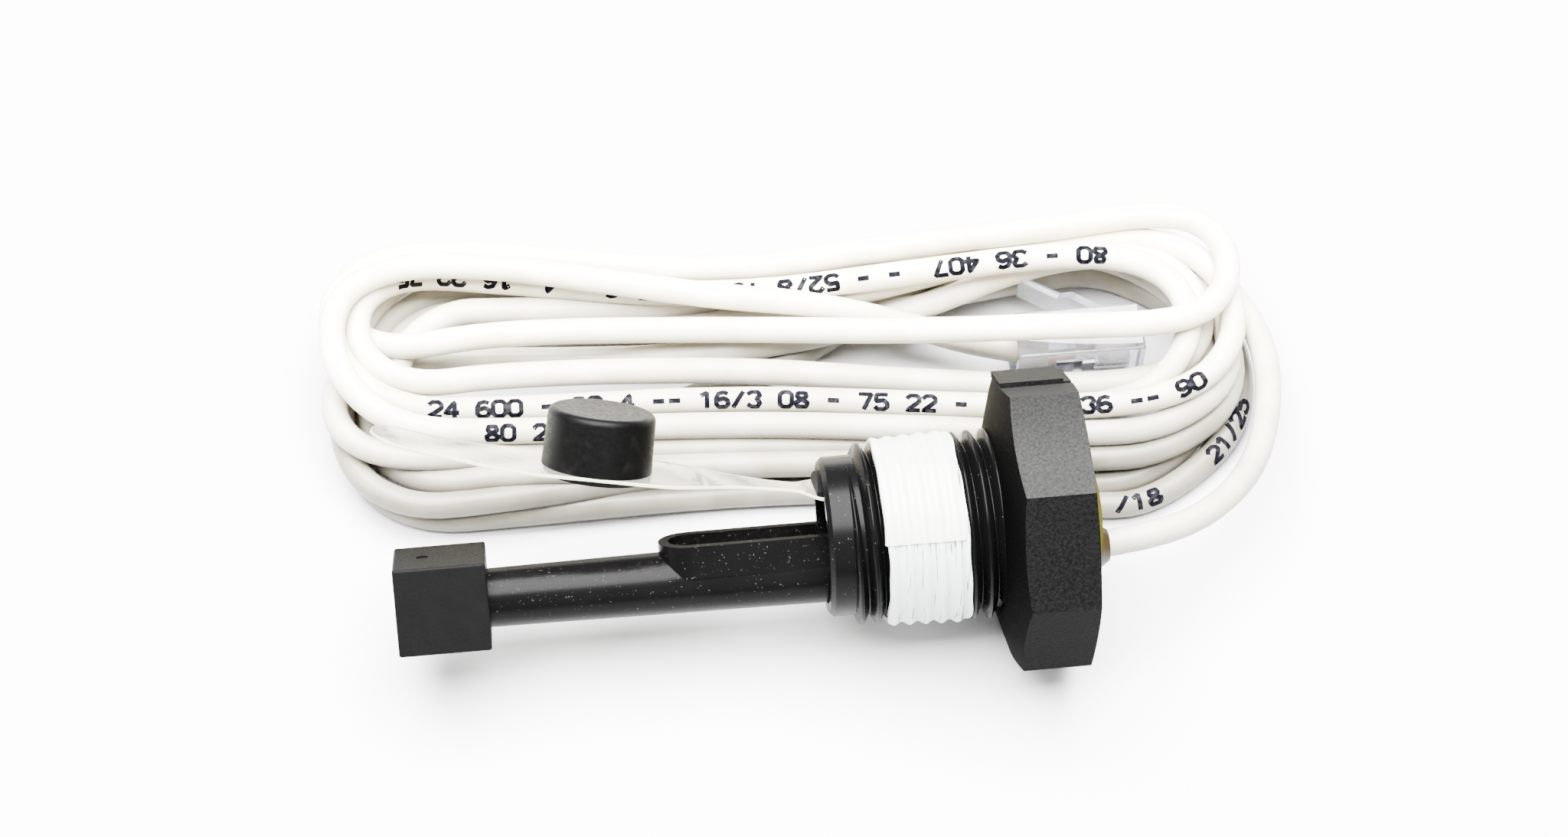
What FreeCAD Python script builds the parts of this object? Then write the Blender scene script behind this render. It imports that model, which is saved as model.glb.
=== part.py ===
"""Paddle flow switch with its hank of cable and modular plug, one STEP file for each piece.

The switch is drawn in its own axes: x along the pipe thread with 0 at the back of the head and the stem
towards -x, z towards the flat that carries the groove, y completing the set. It lies on another flat of
its octagonal head, so the finished pieces are rolled about x and lifted on to the floor.
"""
import FreeCAD, Part
import math
import os

os.makedirs("parts", exist_ok=True)

V = FreeCAD.Vector
X_AXIS = V(1, 0, 0)
Y_AXIS = V(0, 1, 0)
Z_AXIS = V(0, 0, 1)

# Head of the moulded body, an octagon with a shallow cone towards the thread
head_flats = 31.75
head_depth = 9.3
head_back = 0.5
head_cone_radius = 10.9
head_cone_drop = 2.0
head_edge = 0.2
head_roll = -45.0
groove_width = 1.0
groove_depth = 0.8
groove_offset = -1.0
groove_front_stop = 1.6
pad_rise = 0.35
pad_back_stop = 0.9

# Tapered core of the 1/2-14 pipe thread and the pilot sleeve in front of it
thread_root_radius = 9.1
thread_length = 16.6
pipe_taper = 1.0 / 32.0
sleeve_length = 2.8
sleeve_edge = 0.5
mouth_wall = 1.5
mouth_depth = 7.8

# Stem that holds the reed switch, its saddle and the block on its end
stem_drop = 3.8
stem_root_radius = 3.75
stem_draft = 0.0105
stem_reach = 38.2
stem_bore_radius = 2.1
saddle_length = 18.7
saddle_half_width = 3.55
saddle_rise = 1.05
saddle_wall = 1.15
saddle_foot = 2.1
block_width = 10.1
block_length = 10.4
block_drop = 3.5
block_edge = 0.3
gate_mark_radius = 0.7
gate_mark_place = 3.3
gate_mark_depth = 0.2
spigot_length = 6.0
fit_gap = 0.03

# Potting pocket in the back of the head
rim_outer_radius = 11.0
rim_wall = 1.0
rim_height = 1.3
pocket_depth = 5.5
fill_below_rim = 0.3
dome_rise = 1.2
bead_radius = 2.9
bead_reach = 3.9
bead_sink = 0.3
bead_shoulder = 0.4
bead_slump = 0.15
bead_nose = 0.7
bead_lip = 0.25

# Film strip, its clamp in the mouth and the magnet cap on it
strip_height = 5.5
strip_slope = 10.6
strip_width = 9.2
strip_thickness = 0.35
strip_tail = 6.6
strip_straight = 31.7
strip_curl_length = 19.3
strip_curl_angle = 11.0
shelf_thickness = 1.4
shelf_recess = 0.9
clamp_half_width = 4.2
clamp_overhang = 0.7
cap_place = 25.4
cap_radius = 6.25
cap_draft = 0.2
cap_height = 6.6
cap_edge = 0.8
base_radius = 6.1
base_thickness = 0.6
magnet_radius = 4.75
magnet_height = 3.9
stake_radius = 0.5
stake_height = 1.5

# Sealing tape wound over the thread
tape_start = 3.7
tape_width = 9.5
thread_height = 1.25
tape_build = 0.2

# Reed switch and its wires in the stem
reed_place = 25.3
capsule_length = 13.0
capsule_radius = 1.15
capsule_wall = 0.35
reed_drop = 0.9
reed_lead_radius = 0.3
reed_lead_length = 2.5
blade_width = 0.9
blade_thickness = 0.25
blade_lap = 0.8
blade_gap = 0.12
wire_radius = 0.55
wire_rise = 0.95

# Cable, hank and plug
cable_radius = 1.57
cable_start = -3.5
hank_left_radius = 19.0
hank_right_radius = 21.3
hank_waist_radius = 220.0
hank_left = -66.5
hank_right = 4.8
hank_left_middle = 32.0
hank_right_middle = 28.2
hank_height = 10.5
hank_head_gap = 0.6
hank_edge = 3.5
nest_corner = 5.0
nest_rear_room = 9.6
nest_nose_room = 4.0
nest_side_room = 1.0
plug_length = 15.4
plug_thickness = 6.6
plug_width = 9.65
plug_edge = 0.35
plug_rear = -1.9
plug_front = 26.0
entry_depth = 7.0
entry_width = 7.6
entry_height = 4.4
jacket_depth = 4.2
contact_pitch = 1.02
contact_slots = 6
contact_count = 4
contact_slot_width = 0.45
contact_thickness = 0.32
contact_start = 9.6
contact_length = 3.6
contact_slot_length = 4.0
contact_depth = 3.1
contact_recess = 0.5
conductor_radius = 0.42
conductor_gap = 0.05
relief_start = 4.6
relief_length = 3.2
relief_width = 6.0
relief_depth = 0.7
latch_length = 10.8
latch_thickness = 1.0
latch_root_width = 6.0
latch_tip_width = 3.3
latch_shoulder = 4.2
latch_angle = 36.0
latch_hinge = 11.0
latch_clearance = 0.15
lug_length = 2.3
lug_height = 1.0

# Places that follow from the sizes above
half_flats = head_flats / 2
head_front = -head_depth
mouth_radius = thread_root_radius - mouth_wall
thread_front = head_front - thread_length
mouth_x = thread_front - sleeve_length
mouth_floor = mouth_x + mouth_depth
block_back = mouth_x - stem_reach
block_end = block_back - block_length
stem_end = block_back - spigot_length
reed_x = mouth_x - reed_place
pocket_radius = rim_outer_radius - rim_wall
fill_top = rim_height - fill_below_rim
roll = math.radians(head_roll)
cable_y = stem_drop * math.sin(roll)
cable_z = half_flats - stem_drop * math.cos(roll)
slope = math.radians(strip_slope)
curl = math.radians(strip_curl_angle)
curl_radius = strip_curl_length / curl
curl_run = curl_radius * (math.sin(slope + curl) - math.sin(slope))
strip_tip_x = mouth_x - strip_straight * math.cos(slope) - curl_run
origin_x = (strip_tip_x + bead_reach) / 2
plug_middle = plug_width / 2
jacket_y = plug_front + plug_thickness / 2
hinge_x = plug_rear + latch_hinge
hinge_y = plug_front + plug_thickness + latch_thickness / 2 + latch_clearance

# Route of the cable's free stretch, then the short stretch between the hank and the plug
lead_route = [
    V(cable_start, cable_y, cable_z),
    V(10.0, cable_y, cable_z),
    V(21.4, 4.6, 11.0),
    V(27.4, 15.4, 9.3),
    V(29.0, 28.0, 7.4),
    V(22.2, 38.6, 5.7),
    V(14.5, 43.5, 4.8),
]
tail_route = [
    V(-14.0, 31.5, 4.3),
    V(-6.0, 29.9, 4.7),
    V(plug_rear + jacket_depth, jacket_y, plug_middle),
]


def box(x0, x1, y0, y1, z0, z1):
    """A box between two corners."""
    return Part.makeBox(x1 - x0, y1 - y0, z1 - z0, V(x0, y0, z0))


def bar(radius, x0, x1, y=0.0, z=0.0):
    """A round bar along x."""
    return Part.makeCylinder(radius, x1 - x0, V(x0, y, z), X_AXIS)


def turned(points):
    """A solid turned about the x axis from an outline of (x, radius) points."""
    outline = [V(x, 0, r) for x, r in points]
    face = Part.Face(Part.makePolygon(outline + outline[:1]))
    return face.revolve(V(0, 0, 0), X_AXIS, 360)


def one(shape):
    """The single solid of a result, with its seams merged."""
    clean = shape.removeSplitter()
    if len(clean.Solids) != 1:
        raise ValueError("expected one solid, got %d" % len(clean.Solids))
    return clean.Solids[0]


def root_radius(x):
    """Radius of the thread's root, which grows towards the head."""
    return thread_root_radius + (x - thread_front) * pipe_taper


def octagon(x0, x1, margin=0.0):
    """The head's prism, with two of its flats square to z."""
    corner = (half_flats + margin) / math.cos(math.pi / 8)
    turns = [math.pi / 8 + k * math.pi / 4 for k in range(8)]
    points = [V(x0, corner * math.cos(t), corner * math.sin(t)) for t in turns]
    face = Part.Face(Part.makePolygon(points + points[:1]))
    return face.extrude(V(x1 - x0, 0, 0))


def make_head():
    """Octagon trimmed by a shallow cone in front and a narrow bevel behind, with its pad and groove."""
    corner = half_flats / math.cos(math.pi / 8) + pad_rise
    envelope = turned([
        (head_front, 0),
        (head_front, head_cone_radius),
        (head_front + head_cone_drop, corner),
        (head_back - head_edge, corner),
        (head_back, half_flats - head_edge / 2),
        (head_back, 0),
    ])
    head = octagon(head_front, head_back).common(envelope)
    flat_half = half_flats * math.tan(math.pi / 8)
    pad_front = head_front + groove_front_stop
    groove_edge = groove_offset + groove_width / 2
    pad = box(pad_front, head_back - pad_back_stop, groove_edge, flat_half - head_edge,
              half_flats - pad_rise, half_flats + pad_rise)
    groove = box(pad_front, head_back + head_edge, groove_edge - groove_width, groove_edge,
                 half_flats - groove_depth, half_flats + 1)
    return head.fuse(pad).cut(groove)


def strip_frame(shape):
    """Turns a shape drawn along -x at the lip of the mouth to the slope of the strip."""
    shape.rotate(V(mouth_x, 0, strip_height), Y_AXIS, strip_slope)
    return shape


def make_shelf():
    """Ledge inside the mouth that the strip lies on."""
    top = strip_height - strip_thickness / 2 - fit_gap
    slab = box(mouth_x - 1, mouth_floor + 3, -mouth_radius, mouth_radius, top - shelf_thickness, top)
    inside = bar(mouth_radius + mouth_wall / 2, mouth_x + shelf_recess, mouth_floor + mouth_wall)
    return strip_frame(slab).common(inside)


def make_saddle():
    """Shallow channel on the stem, round-nosed, that runs into the mouth."""
    top = -stem_drop + stem_root_radius + saddle_rise
    nose = mouth_x - saddle_length + saddle_half_width
    foot = -stem_drop + saddle_foot - 1
    outer = box(nose, mouth_floor + 1, -saddle_half_width, saddle_half_width, foot, top)
    tip = Part.makeCylinder(saddle_half_width, top - foot, V(nose, 0, foot))
    half_trough = saddle_half_width - saddle_wall
    trough = box(nose, mouth_floor, -half_trough, half_trough, top - saddle_rise, top + 1)
    trough_tip = Part.makeCylinder(half_trough, saddle_rise + 1, V(nose, 0, top - saddle_rise))
    return outer.fuse(tip).cut(trough.fuse(trough_tip))


def make_body():
    """One moulding: head, tapered thread core, sleeve, stem and saddle, with its pockets and bore."""
    core = turned([
        (mouth_x, 0),
        (mouth_x, thread_root_radius - sleeve_edge),
        (mouth_x + sleeve_edge, thread_root_radius),
        (thread_front, thread_root_radius),
        (head_front + head_cone_drop, root_radius(head_front + head_cone_drop)),
        (head_front + head_cone_drop, 0),
    ])
    rim = bar(rim_outer_radius, head_back - head_edge, rim_height)
    shell = make_head().fuse([core, rim])
    shell = shell.cut(bar(mouth_radius, mouth_x - 1, mouth_floor))
    shell = shell.cut(bar(pocket_radius, -pocket_depth, rim_height + 1))
    length = mouth_floor + 1 - stem_end
    tip_radius = stem_root_radius - stem_draft * (mouth_x - stem_end)
    root = stem_root_radius + stem_draft * (mouth_floor + 1 - mouth_x)
    stem = Part.makeCone(tip_radius, root, length, V(stem_end, 0, -stem_drop), X_AXIS)
    shell = shell.fuse([stem, make_saddle(), make_shelf()])
    return one(shell.cut(bar(stem_bore_radius, block_back + 1, -pocket_depth + 1, 0, -stem_drop)))


def make_block():
    """Square block pressed on the spigot of the stem, with the gate mark on its upper face."""
    half = block_width / 2
    block = box(block_end, block_back, -half, half, -block_drop - half, -block_drop + half)
    block = block.makeFillet(block_edge, block.Edges)
    tip_radius = stem_root_radius - stem_draft * (mouth_x - stem_end) + fit_gap
    back_radius = stem_root_radius - stem_draft * (mouth_x - block_back) + fit_gap
    socket = Part.makeCone(tip_radius, back_radius, spigot_length, V(stem_end, 0, -stem_drop), X_AXIS)
    mark_foot = V(block_end + gate_mark_place, 0, -block_drop + half - gate_mark_depth)
    mark = Part.makeCylinder(gate_mark_radius, 1, mark_foot)
    return one(block.cut(socket).cut(mark))


def make_tape():
    """Sealing tape filling the thread over its middle turns."""
    x0 = thread_front + tape_start
    x1 = x0 + tape_width
    build = thread_height + tape_build
    return turned([
        (x0, root_radius(x0)),
        (x0, root_radius(x0) + build),
        (x1, root_radius(x1) + build),
        (x1, root_radius(x1)),
    ])


def strip_side(thickness):
    """Side outline of the strip at the lip, straight and then curling up, drawn level along -x."""
    half = thickness / 2
    tail = mouth_x + strip_tail
    bend = mouth_x - strip_straight
    centre = V(bend, 0, strip_height + curl_radius)

    def at(radius, angle):
        return centre + V(-radius * math.sin(angle), 0, -radius * math.cos(angle))

    lower = curl_radius + half
    upper = curl_radius - half
    edges = [
        Part.LineSegment(V(tail, 0, strip_height + half), V(tail, 0, strip_height - half)),
        Part.LineSegment(V(tail, 0, strip_height - half), at(lower, 0)),
        Part.Arc(at(lower, 0), at(lower, curl / 2), at(lower, curl)),
        Part.LineSegment(at(lower, curl), at(upper, curl)),
        Part.Arc(at(upper, curl), at(upper, curl / 2), at(upper, 0)),
        Part.LineSegment(at(upper, 0), V(tail, 0, strip_height + half)),
    ]
    return Part.Face(Part.Wire([edge.toShape() for edge in edges]))


def stake_places():
    """Places along the strip of the two stakes of the cap's base."""
    ring = (cap_radius + magnet_radius) / 2
    return [cap_place - ring, cap_place + ring]


def make_strip():
    """Clear film with a rounded tip, held at its tail and pierced for the stakes of the cap."""
    half = strip_width / 2
    side = strip_side(strip_thickness)
    side.translate(V(0, -half, 0))
    film = side.extrude(V(0, strip_width, 0))
    tip = mouth_x - strip_straight - curl_radius * math.sin(curl)
    low = strip_height - 1
    high = strip_height + curl_radius
    plan = box(tip + half, mouth_x + strip_tail, -half, half, low, high)
    plan = plan.fuse(Part.makeCylinder(half, high - low, V(tip + half, 0, low)))
    film = film.common(plan)
    for place in stake_places():
        film = film.cut(Part.makeCylinder(stake_radius + fit_gap, 2, V(mouth_x - place, 0, strip_height - 1)))
    return one(strip_frame(film))


def make_clamp():
    """Wedge that holds the tail of the strip against the shelf, shaped to the wall of the mouth."""
    bottom = strip_height + strip_thickness / 2 + fit_gap
    front = mouth_x - clamp_overhang
    slab = box(front, mouth_x + strip_tail, -clamp_half_width, clamp_half_width, bottom, bottom + 4)
    inside = bar(mouth_radius - fit_gap, front - 2, mouth_floor - fit_gap)
    return one(strip_frame(slab).common(inside))


def cap_turned(points):
    """A solid turned about the cap's own axis from (radius, height above the strip's middle) points."""
    outline = [V(mouth_x - cap_place + r, 0, strip_height + h) for r, h in points]
    face = Part.Face(Part.makePolygon(outline + outline[:1]))
    return face.revolve(V(mouth_x - cap_place, 0, 0), Z_AXIS, 360)


def make_cap():
    """Moulded magnet cap, slightly tapered, open below for the magnet and socketed for the stakes."""
    floor = strip_thickness / 2
    top = floor + cap_height
    cap = cap_turned([(0, floor), (cap_radius, floor), (cap_radius - cap_draft, top), (0, top)])
    rim = [e for e in cap.Edges if e.BoundBox.ZMin > strip_height + top - 1e-6]
    cap = cap.makeFillet(cap_edge, rim)
    seat = V(mouth_x - cap_place, 0, strip_height + floor)
    well = Part.makeCylinder(magnet_radius + fit_gap, magnet_height + fit_gap, seat)
    cap = cap.cut(well)
    for place in stake_places():
        foot = V(mouth_x - place, 0, strip_height + floor)
        cap = cap.cut(Part.makeCylinder(stake_radius + fit_gap, stake_height + fit_gap, foot))
    return one(strip_frame(cap))


def make_magnet():
    """Disc magnet inside the cap, lying on the strip."""
    seat = strip_height + strip_thickness / 2
    return strip_frame(Part.makeCylinder(magnet_radius, magnet_height, V(mouth_x - cap_place, 0, seat)))


def make_base():
    """Thin disc under the strip, with two stakes that pass through it into the cap."""
    floor = -strip_thickness / 2
    low = floor - base_thickness
    base = cap_turned([(0, floor), (base_radius, floor), (base_radius - cap_draft, low), (0, low)])
    for place in stake_places():
        reach = strip_thickness + stake_height
        base = base.fuse(Part.makeCylinder(stake_radius, reach, V(mouth_x - place, 0, strip_height + floor)))
    return one(strip_frame(base))


def reed_z():
    """Height of the reed capsule's axis, low in the bore of the stem."""
    return -stem_drop - reed_drop


def make_capsule():
    """Glass tube of the reed switch, closed round its two leads."""
    half = capsule_length / 2
    outer = capsule_radius
    shoulder = outer / 2
    glass = turned([
        (reed_x - half, 0),
        (reed_x - half, shoulder),
        (reed_x - half + shoulder, outer),
        (reed_x + half - shoulder, outer),
        (reed_x + half, shoulder),
        (reed_x + half, 0),
    ])
    inside = bar(outer - capsule_wall, reed_x - half + 2 * shoulder, reed_x + half - 2 * shoulder)
    leads = bar(reed_lead_radius, reed_x - half - 1, reed_x + half + 1)
    glass = glass.cut(inside.fuse(leads))
    glass.translate(V(0, 0, reed_z()))
    return one(glass)


def make_blade(side):
    """One lead of the reed switch with its flat blade; side is -1 towards the block, 1 towards the head."""
    half = capsule_length / 2
    outside = half + reed_lead_length
    inside = half - capsule_radius
    lift = side * (blade_thickness + blade_gap) / 2
    lead = bar(reed_lead_radius, inside - 0.5, outside)
    half_width = blade_width / 2
    half_thick = blade_thickness / 2
    flat = box(-blade_lap, inside, -half_width, half_width, lift - half_thick, lift + half_thick)
    blade = lead.fuse(flat)
    if side < 0:
        blade = blade.mirror(V(0, 0, 0), X_AXIS)
    blade.translate(V(reed_x, 0, reed_z()))
    return one(blade)


def make_short_wire():
    """Insulated wire from the cable to the near lead of the reed switch."""
    near_end = reed_x + capsule_length / 2 + reed_lead_length
    return bar(wire_radius, near_end, cable_start, 0, reed_z())


def make_long_wire():
    """Insulated wire that passes over the capsule and turns back to its far lead."""
    far_end = reed_x - capsule_length / 2 - reed_lead_length
    high = -stem_drop + wire_rise
    low = reed_z()
    bend = (high - low) / 2
    path = Part.Wire([
        Part.LineSegment(V(cable_start, 0, high), V(far_end, 0, high)).toShape(),
        Part.Arc(V(far_end, 0, high), V(far_end - bend, 0, (high + low) / 2), V(far_end, 0, low)).toShape(),
    ])
    ring = Part.Wire([Part.makeCircle(wire_radius, V(cable_start, 0, high), X_AXIS)])
    return path.makePipeShell([ring], True, False).Solids[0]


def make_fill(inserts):
    """Epoxy that fills the pocket to a low dome and holds the cable and wires."""
    sphere_radius = (pocket_radius ** 2 + dome_rise ** 2) / (2 * dome_rise)
    blank = bar(pocket_radius, -pocket_depth, fill_top + dome_rise)
    ball = Part.makeSphere(sphere_radius, V(fill_top + dome_rise - sphere_radius, 0, 0))
    fill = blank.common(ball)
    for insert in inserts:
        fill = fill.cut(insert)
    return one(fill)


def make_bead(fill):
    """Bead of glue round the cable where it leaves the epoxy."""
    blank = turned([
        (fill_top - bead_sink, cable_radius),
        (fill_top - bead_sink, bead_radius),
        (fill_top + dome_rise + bead_shoulder, bead_radius - bead_slump),
        (bead_reach - bead_nose, cable_radius + bead_nose),
        (bead_reach, cable_radius + bead_lip),
        (bead_reach, cable_radius),
    ])
    blank.translate(V(0, 0, -stem_drop))
    return one(blank.cut(fill))


def tube_along(route, name):
    """Cable along a route of straight runs, each corner rounded as widely as its two runs allow."""
    edges = []
    start = route[0]
    for before, corner, after in zip(route, route[1:], route[2:]):
        arrive = (corner - before).normalize()
        leave = (after - corner).normalize()
        turn = arrive.getAngle(leave)
        cut_back = 0.45 * min((corner - before).Length, (after - corner).Length)
        radius = cut_back / math.tan(turn / 2)
        first = corner - arrive * cut_back
        last = corner + leave * cut_back
        bisector = (leave - arrive).normalize()
        middle = corner + bisector * (radius / math.cos(turn / 2) - radius)
        edges.append(Part.LineSegment(start, first).toShape())
        edges.append(Part.Arc(first, middle, last).toShape())
        start = last
        print("%s: turn %.0f degrees, radius %.1f" % (name, math.degrees(turn), radius))
    edges.append(Part.LineSegment(start, route[-1]).toShape())
    path = Part.Wire(edges)
    ring = Part.Wire([Part.makeCircle(cable_radius, route[0], route[1] - route[0])])
    tube = path.makePipeShell([ring], True, False).Solids[0]
    expected = math.pi * cable_radius ** 2 * path.Length
    print("%s: length %.1f, volume %.1f, section times length %.1f" % (
        name, path.Length, tube.Volume, expected))
    return tube


def waist_arc(side):
    """Hollow side of the hank, an arc that touches both lobes; side is -1 in front and 1 behind."""
    left = V(hank_left, hank_left_middle, 0)
    right = V(hank_right, hank_right_middle, 0)
    to_left = hank_left_radius + hank_waist_radius
    to_right = hank_right_radius + hank_waist_radius
    along = (right - left).normalize()
    across = V(-along.y, along.x, 0) * side
    gap = (right - left).Length
    foot = (gap ** 2 + to_left ** 2 - to_right ** 2) / (2 * gap)
    centre = left + along * foot + across * math.sqrt(to_left ** 2 - foot ** 2)
    first = left + (centre - left).normalize() * hank_left_radius
    last = right + (centre - right).normalize() * hank_right_radius
    middle = centre + ((first + last) * 0.5 - centre).normalize() * hank_waist_radius
    return first, middle, last


def make_hank():
    """Outer shape of the waisted hank, lying flat, clear of the head, with the nest that the plug lies in."""
    front = waist_arc(-1)
    back = waist_arc(1)
    left_end = V(hank_left - hank_left_radius, hank_left_middle, 0)
    right_end = V(hank_right + hank_right_radius, hank_right_middle, 0)
    outline = Part.Wire([
        Part.Arc(front[0], left_end, back[0]).toShape(),
        Part.Arc(*back).toShape(),
        Part.Arc(back[2], right_end, front[2]).toShape(),
        Part.Arc(front[2], front[1], front[0]).toShape(),
    ])
    hank = Part.Face(outline).extrude(V(0, 0, hank_height))
    rims = [e for e in hank.Edges if e.BoundBox.ZLength < 1e-6]
    hank = hank.makeFillet(hank_edge, rims)
    head_room = octagon(head_front - hank_head_gap, rim_height, hank_head_gap)
    head_room.translate(V(0, 0, half_flats))
    hank = hank.cut(head_room)
    latch_reach = hinge_y + latch_length * math.sin(math.radians(latch_angle)) + latch_thickness
    nest = box(plug_rear - nest_rear_room, plug_rear + plug_length + nest_nose_room,
               plug_front - nest_side_room, latch_reach + nest_side_room, -1, hank_height + 1)
    uprights = [e for e in nest.Edges if e.BoundBox.ZLength > hank_height]
    return one(hank.cut(nest.makeFillet(nest_corner, uprights)))


def plug_box(a0, a1, b0, b1, c0, c1):
    """A box in the plug: a from its rear, b from its contact side, c from its lower side."""
    return box(plug_rear + a0, plug_rear + a1, plug_front + b0, plug_front + b1, c0, c1)


def slot_middle(slot):
    """Place of a contact slot across the width of the plug."""
    return plug_middle + (slot - (contact_slots - 1) / 2) * contact_pitch


def make_plug():
    """Clear modular plug lying on its side: cable entry, contact slots, strain relief and latch lug."""
    shell = plug_box(0, plug_length, 0, plug_thickness, 0, plug_width)
    shell = shell.makeFillet(plug_edge, shell.Edges)
    mid_b = plug_thickness / 2
    half_w = entry_width / 2
    half_h = entry_height / 2
    shell = shell.cut(plug_box(-1, entry_depth, mid_b - half_h, mid_b + half_h,
                               plug_middle - half_w, plug_middle + half_w))
    channel_half = contact_pitch / 2 + conductor_radius + conductor_gap
    channel_b = contact_depth - conductor_radius - conductor_gap
    channel_high = conductor_radius + conductor_gap
    shell = shell.cut(plug_box(entry_depth - 1, contact_start,
                               channel_b - channel_high, channel_b + channel_high,
                               plug_middle - channel_half, plug_middle + channel_half))
    for slot in range(contact_slots):
        c = slot_middle(slot)
        half = contact_slot_width / 2
        shell = shell.cut(plug_box(contact_start, contact_start + contact_slot_length, -1, contact_depth,
                                   c - half, c + half))
    half_r = relief_width / 2
    shell = shell.cut(plug_box(relief_start, relief_start + relief_length, -1, relief_depth,
                               plug_middle - half_r, plug_middle + half_r))
    lug_start = latch_hinge + latch_thickness / 2 + latch_clearance
    half_l = latch_root_width / 2
    lug = plug_box(lug_start, lug_start + lug_length, plug_thickness - 0.5, plug_thickness + lug_height,
                   plug_middle - half_l, plug_middle + half_l)
    return one(shell.fuse(lug))


def make_latch():
    """Springy latch of the plug, round at its hinge, with shoulders and a narrower finger tab."""
    half_root = latch_root_width / 2
    half_tip = latch_tip_width / 2
    end = hinge_x - latch_length
    shoulder = hinge_x - latch_shoulder
    half = latch_thickness / 2
    points = [
        V(hinge_x, hinge_y - half, plug_middle - half_root),
        V(shoulder, hinge_y - half, plug_middle - half_root),
        V(shoulder - (half_root - half_tip), hinge_y - half, plug_middle - half_tip),
        V(end, hinge_y - half, plug_middle - half_tip),
        V(end, hinge_y - half, plug_middle + half_tip),
        V(shoulder - (half_root - half_tip), hinge_y - half, plug_middle + half_tip),
        V(shoulder, hinge_y - half, plug_middle + half_root),
        V(hinge_x, hinge_y - half, plug_middle + half_root),
    ]
    plate = Part.Face(Part.makePolygon(points + points[:1])).extrude(V(0, latch_thickness, 0))
    knuckle = Part.makeCylinder(half, latch_root_width, V(hinge_x, hinge_y, plug_middle - half_root))
    latch = plate.fuse(knuckle)
    latch.rotate(V(hinge_x, hinge_y, 0), Z_AXIS, -latch_angle)
    return one(latch)


def make_contact(index):
    """One blade contact, seated on the floor of its slot."""
    c = slot_middle(index + (contact_slots - contact_count) / 2)
    half = contact_thickness / 2
    return plug_box(contact_start, contact_start + contact_length, contact_recess, contact_depth,
                    c - half, c + half)


def make_conductor(side):
    """One insulated core from the end of the jacket to its contact."""
    b = plug_front + contact_depth - conductor_radius - conductor_gap
    c = plug_middle + side * contact_pitch / 2
    return bar(conductor_radius, plug_rear + jacket_depth, plug_rear + contact_start, b, c)


def on_floor(shape):
    """Moves a shape from the axis of the lying switch to the frame of the part."""
    moved = shape.copy()
    moved.translate(V(-origin_x, 0, 0))
    return moved


def laid_down(shape):
    """Rolls a piece of the switch on to the flat that it lies on, and moves it to the frame of the part."""
    moved = shape.copy()
    moved.rotate(V(0, 0, 0), X_AXIS, head_roll)
    moved.translate(V(0, 0, half_flats))
    return on_floor(moved)


def main():
    cable_bed = bar(cable_radius, cable_start, rim_height + 2 * dome_rise, 0, -stem_drop)
    short_wire = make_short_wire()
    long_wire = make_long_wire()
    fill = make_fill([cable_bed, short_wire, long_wire])
    switch = {
        "switch_body": make_body(),
        "stem_end_block": make_block(),
        "thread_tape": make_tape(),
        "potting_fill": fill,
        "exit_bead": make_bead(fill),
        "strip_clamp": make_clamp(),
        "paddle_strip": make_strip(),
        "magnet_cap": make_cap(),
        "cap_base": make_base(),
        "magnet": make_magnet(),
        "reed_capsule": make_capsule(),
        "reed_blade_far": make_blade(-1),
        "reed_blade_near": make_blade(1),
        "reed_wire_short": short_wire,
        "reed_wire_long": long_wire,
    }
    hank = make_hank()
    cord = {
        "cable_lead": one(tube_along(lead_route, "cable_lead").cut(hank)),
        "cable_hank": hank,
        "cable_tail": one(tube_along(tail_route, "cable_tail").cut(hank)),
        "plug_housing": make_plug(),
        "plug_latch": make_latch(),
        "plug_conductor_lower": make_conductor(-1),
        "plug_conductor_upper": make_conductor(1),
    }
    for index in range(contact_count):
        cord["plug_contact_%d" % (index + 1)] = make_contact(index)
    placed = {name: laid_down(shape) for name, shape in switch.items()}
    placed.update({name: on_floor(shape) for name, shape in cord.items()})
    for name, shape in placed.items():
        shape.exportStep("parts/%s.step" % name)
        size = shape.BoundBox
        print("%-22s solids %d valid %s volume %9.2f  x %7.2f %7.2f  y %7.2f %7.2f  z %7.2f %7.2f" % (
            name, len(shape.Solids), shape.isValid(), shape.Volume,
            size.XMin, size.XMax, size.YMin, size.YMax, size.ZMin, size.ZMax))
    print("origin at x %.4f, lip of the mouth at %.4f, latch hinge at %.4f %.4f" % (
        origin_x, mouth_x - origin_x, hinge_x - origin_x, hinge_y))


main()
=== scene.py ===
# %% [markdown]
# # A paddle flow switch and its hank of cable
# The switch screws into a pipe, and water pushes a clear film strip with a magnet towards a reed switch in
# the stem. Here it lies on a table with its cable wound in a waisted hank behind it. The solids come packed
# in one frame, and this lesson adds what a solid modeller leaves out: the thread, the sealing tape, the
# cable's turns and every finish. All shapes are numpy arrays, so a formula can be read beside each piece.

# %% Load the frame
import math
import bpy
import numpy as np
from mathutils import Matrix


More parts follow.
